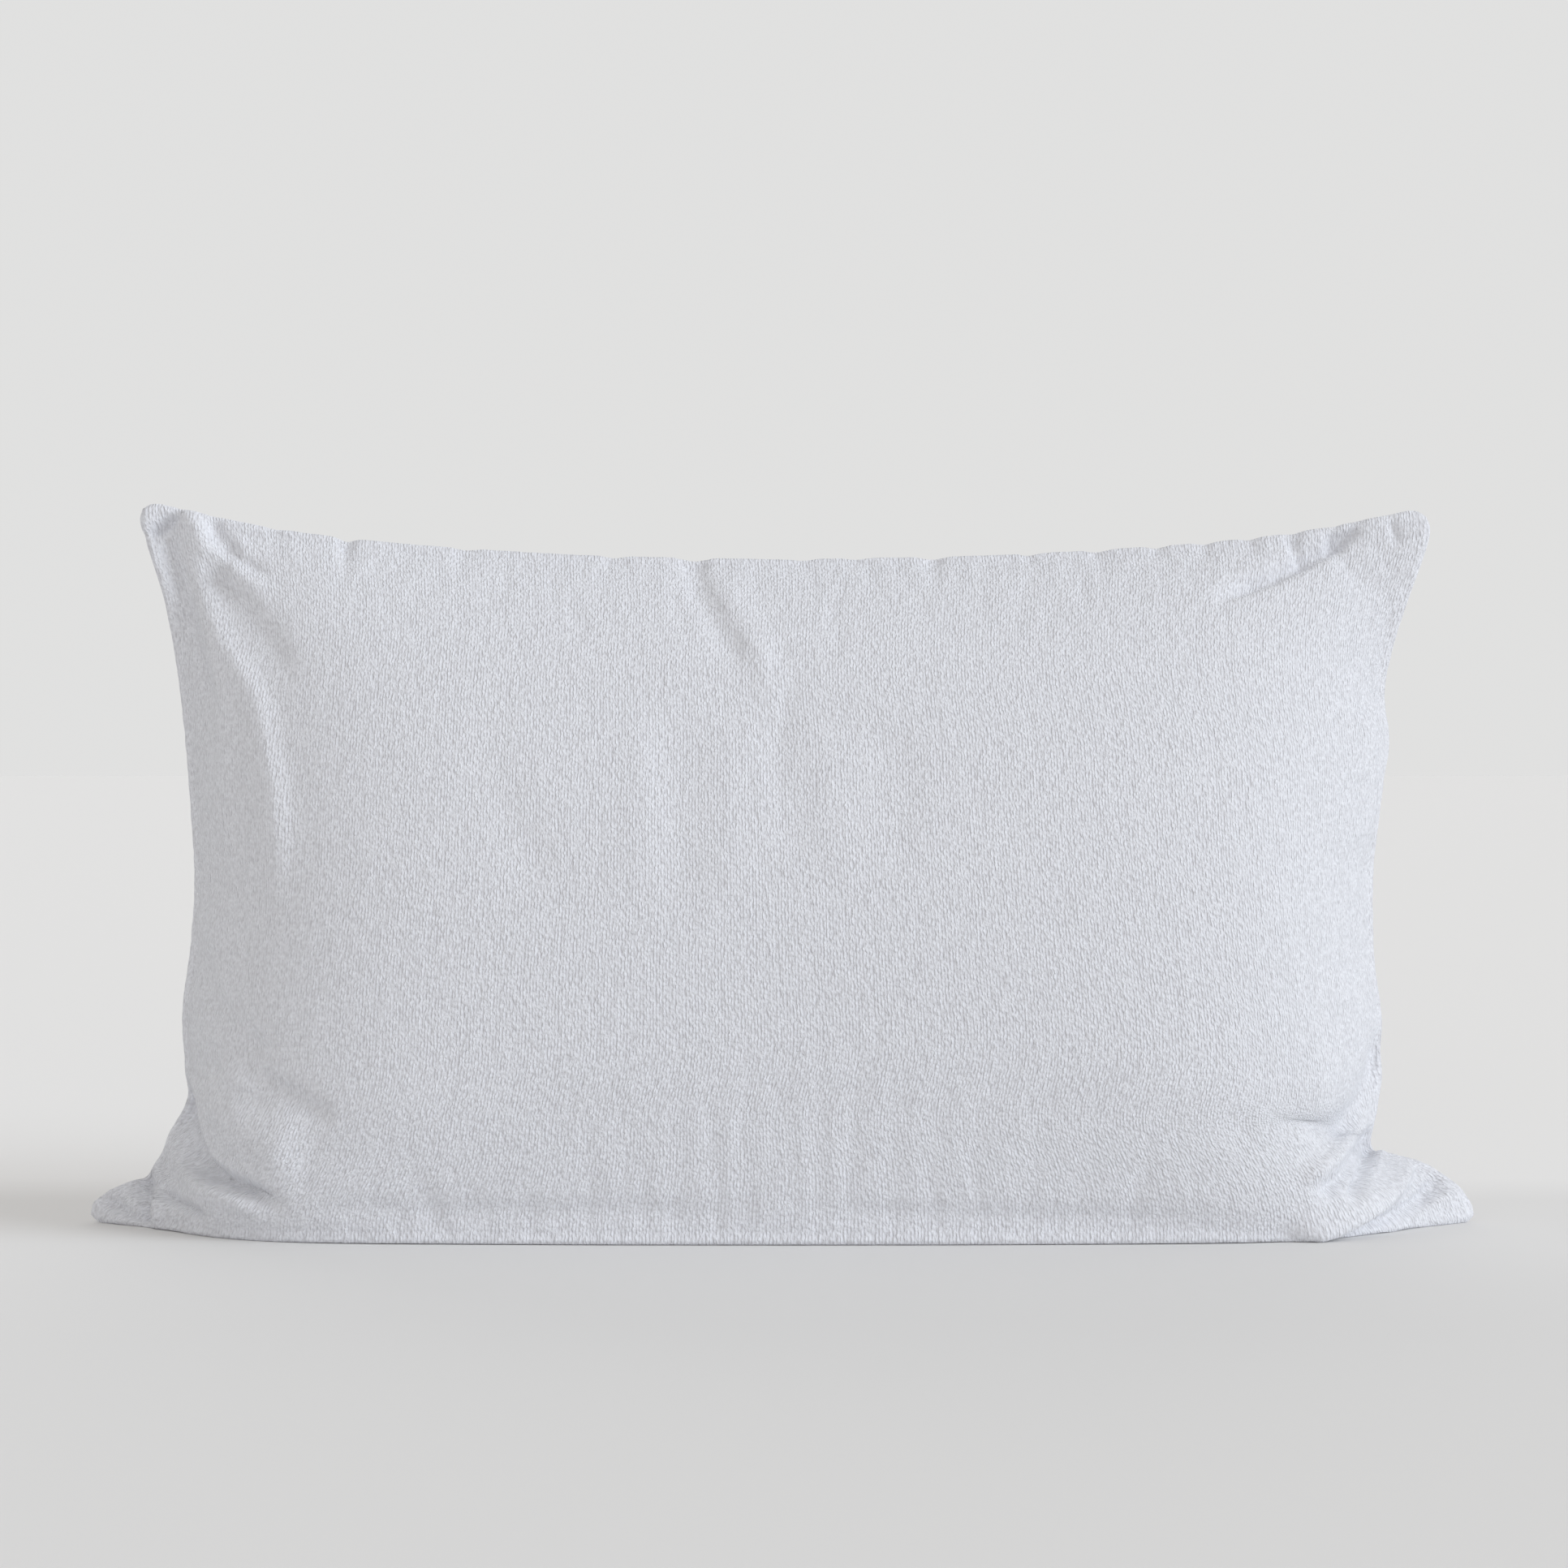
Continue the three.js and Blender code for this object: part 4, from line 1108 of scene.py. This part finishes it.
def add_bevelled(name, node_name, body, width):
    """A metal part of the zip: its CAD shape with its edges eased."""
    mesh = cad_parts[node_name].data.copy()
    mesh.materials.clear()
    piece = linked(name, mesh)
    weld = piece.modifiers.new("weld", "WELD")
    weld.merge_threshold = 0.00001
    bevel = piece.modifiers.new("edges", "BEVEL")
    bevel.width = width * MM
    bevel.segments = 3
    bevel.limit_method = "ANGLE"
    bevel.angle_limit = math.radians(35)
    shaped = bpy.data.meshes.new_from_object(piece.evaluated_get(bpy.context.evaluated_depsgraph_get()))
    piece.modifiers.clear()
    piece.data = shaped
    shaped.shade_smooth()
    shaped.set_sharp_from_angle(angle=math.radians(40))
    finish_piece(piece, NICKEL_MATERIAL, "zip_metal", node_name, body=body)


def add_zip():
    for name, way in (("upper", 1), ("lower", -1)):
        add_tape(name, way)
        add_coil(name, way)
        add_topstitch(name, way)
        add_bevelled(f"zip_{name}_end_stop", f"zip_top_stop_{name}", "pillow", 0.3)
    add_bevelled("zip_start_stop", "zip_bottom_stop", "pillow", 0.4)
    add_bevelled("zip_runner", "zip_slider", "slider", 0.22)
    add_bevelled("zip_tab", "zip_pull", "pull", 0.22)


add_ticking(FRONT, "ticking_front")
add_ticking(BACK, "ticking_back")
add_filling()
add_piping()
add_allowances()
add_labels()
add_zip()


# ---- stage, light and camera

def add_floor():
    """A plain floor, paler behind the pillow."""
    mesh = bpy.data.meshes.new("floor")
    r = FLOOR_REACH
    mesh.from_pydata([(-r, -r, 0), (r, -r, 0), (r, r, 0), (-r, r, 0)], [], [(0, 1, 2, 3)])
    material, tree, shader = new_material("floor", FLOOR_COLOUR, Roughness=0.9)
    place = node(tree, "TexCoord").outputs["Object"]
    back = node(tree, "SeparateXYZ", Vector=place).outputs["Y"]
    add_colours(tree, shader, share_of(tree, back, *PALE_FLOOR_BETWEEN), FLOOR_COLOUR, PALE_FLOOR_COLOUR)
    mesh.materials.append(material)
    linked("floor", mesh)


def add_sun(name, towards, angle, strength, colour):
    light = bpy.data.lights.new(name, "SUN")
    light.angle = math.radians(angle)
    light.energy = strength
    light.color = colour
    lamp = linked(name, light)
    lamp.location = Vector(towards) * 3
    lamp.rotation_euler = (-Vector(towards)).to_track_quat("-Z", "Y").to_euler()


def add_world():
    """Soft light from all round, and a plain background past the floor."""
    world = bpy.data.worlds.new("studio")
    scene.world = world
    world.use_nodes = True
    tree = world.node_tree
    seen = fed(tree, tree.nodes["Background"], {"Color": BACKGROUND_COLOUR, "Strength": 1})
    soft = node(tree, "Background", Color=SOFT_LIGHT_COLOUR, Strength=SOFT_LIGHT)
    path = node(tree, "LightPath")
    mix = node(tree, "MixShader")
    outputs = (path.outputs["Is Camera Ray"], soft.outputs[0], seen.outputs[0])
    for output, socket in zip(outputs, mix.inputs):
        feed(tree, socket, output)
    tree.links.new(mix.outputs[0], tree.nodes["World Output"].inputs["Surface"])


def add_camera():
    camera = bpy.data.cameras.new("camera")
    camera.lens = 85
    camera.sensor_width = 36
    holder = linked("camera", camera)
    holder.location = CAMERA_PLACE
    holder.rotation_euler = (Vector(CAMERA_TARGET) - holder.location).to_track_quat("-Z", "Y").to_euler()
    bpy.context.scene.camera = holder


add_floor()
add_world()
add_sun("key", (0.88, -0.29, 0.37), 32, 1.74, (0.87, 0.93, 1))
add_sun("back", (-0.15, 0.94, 0.3), 60, 0.6, (1, 0.99, 0.975))
add_sun("fill", (-0.05, -0.99, 0.03), 60, 0.5, (1, 0.985, 0.97))
add_camera()
scene.view_settings.view_transform = "Standard"
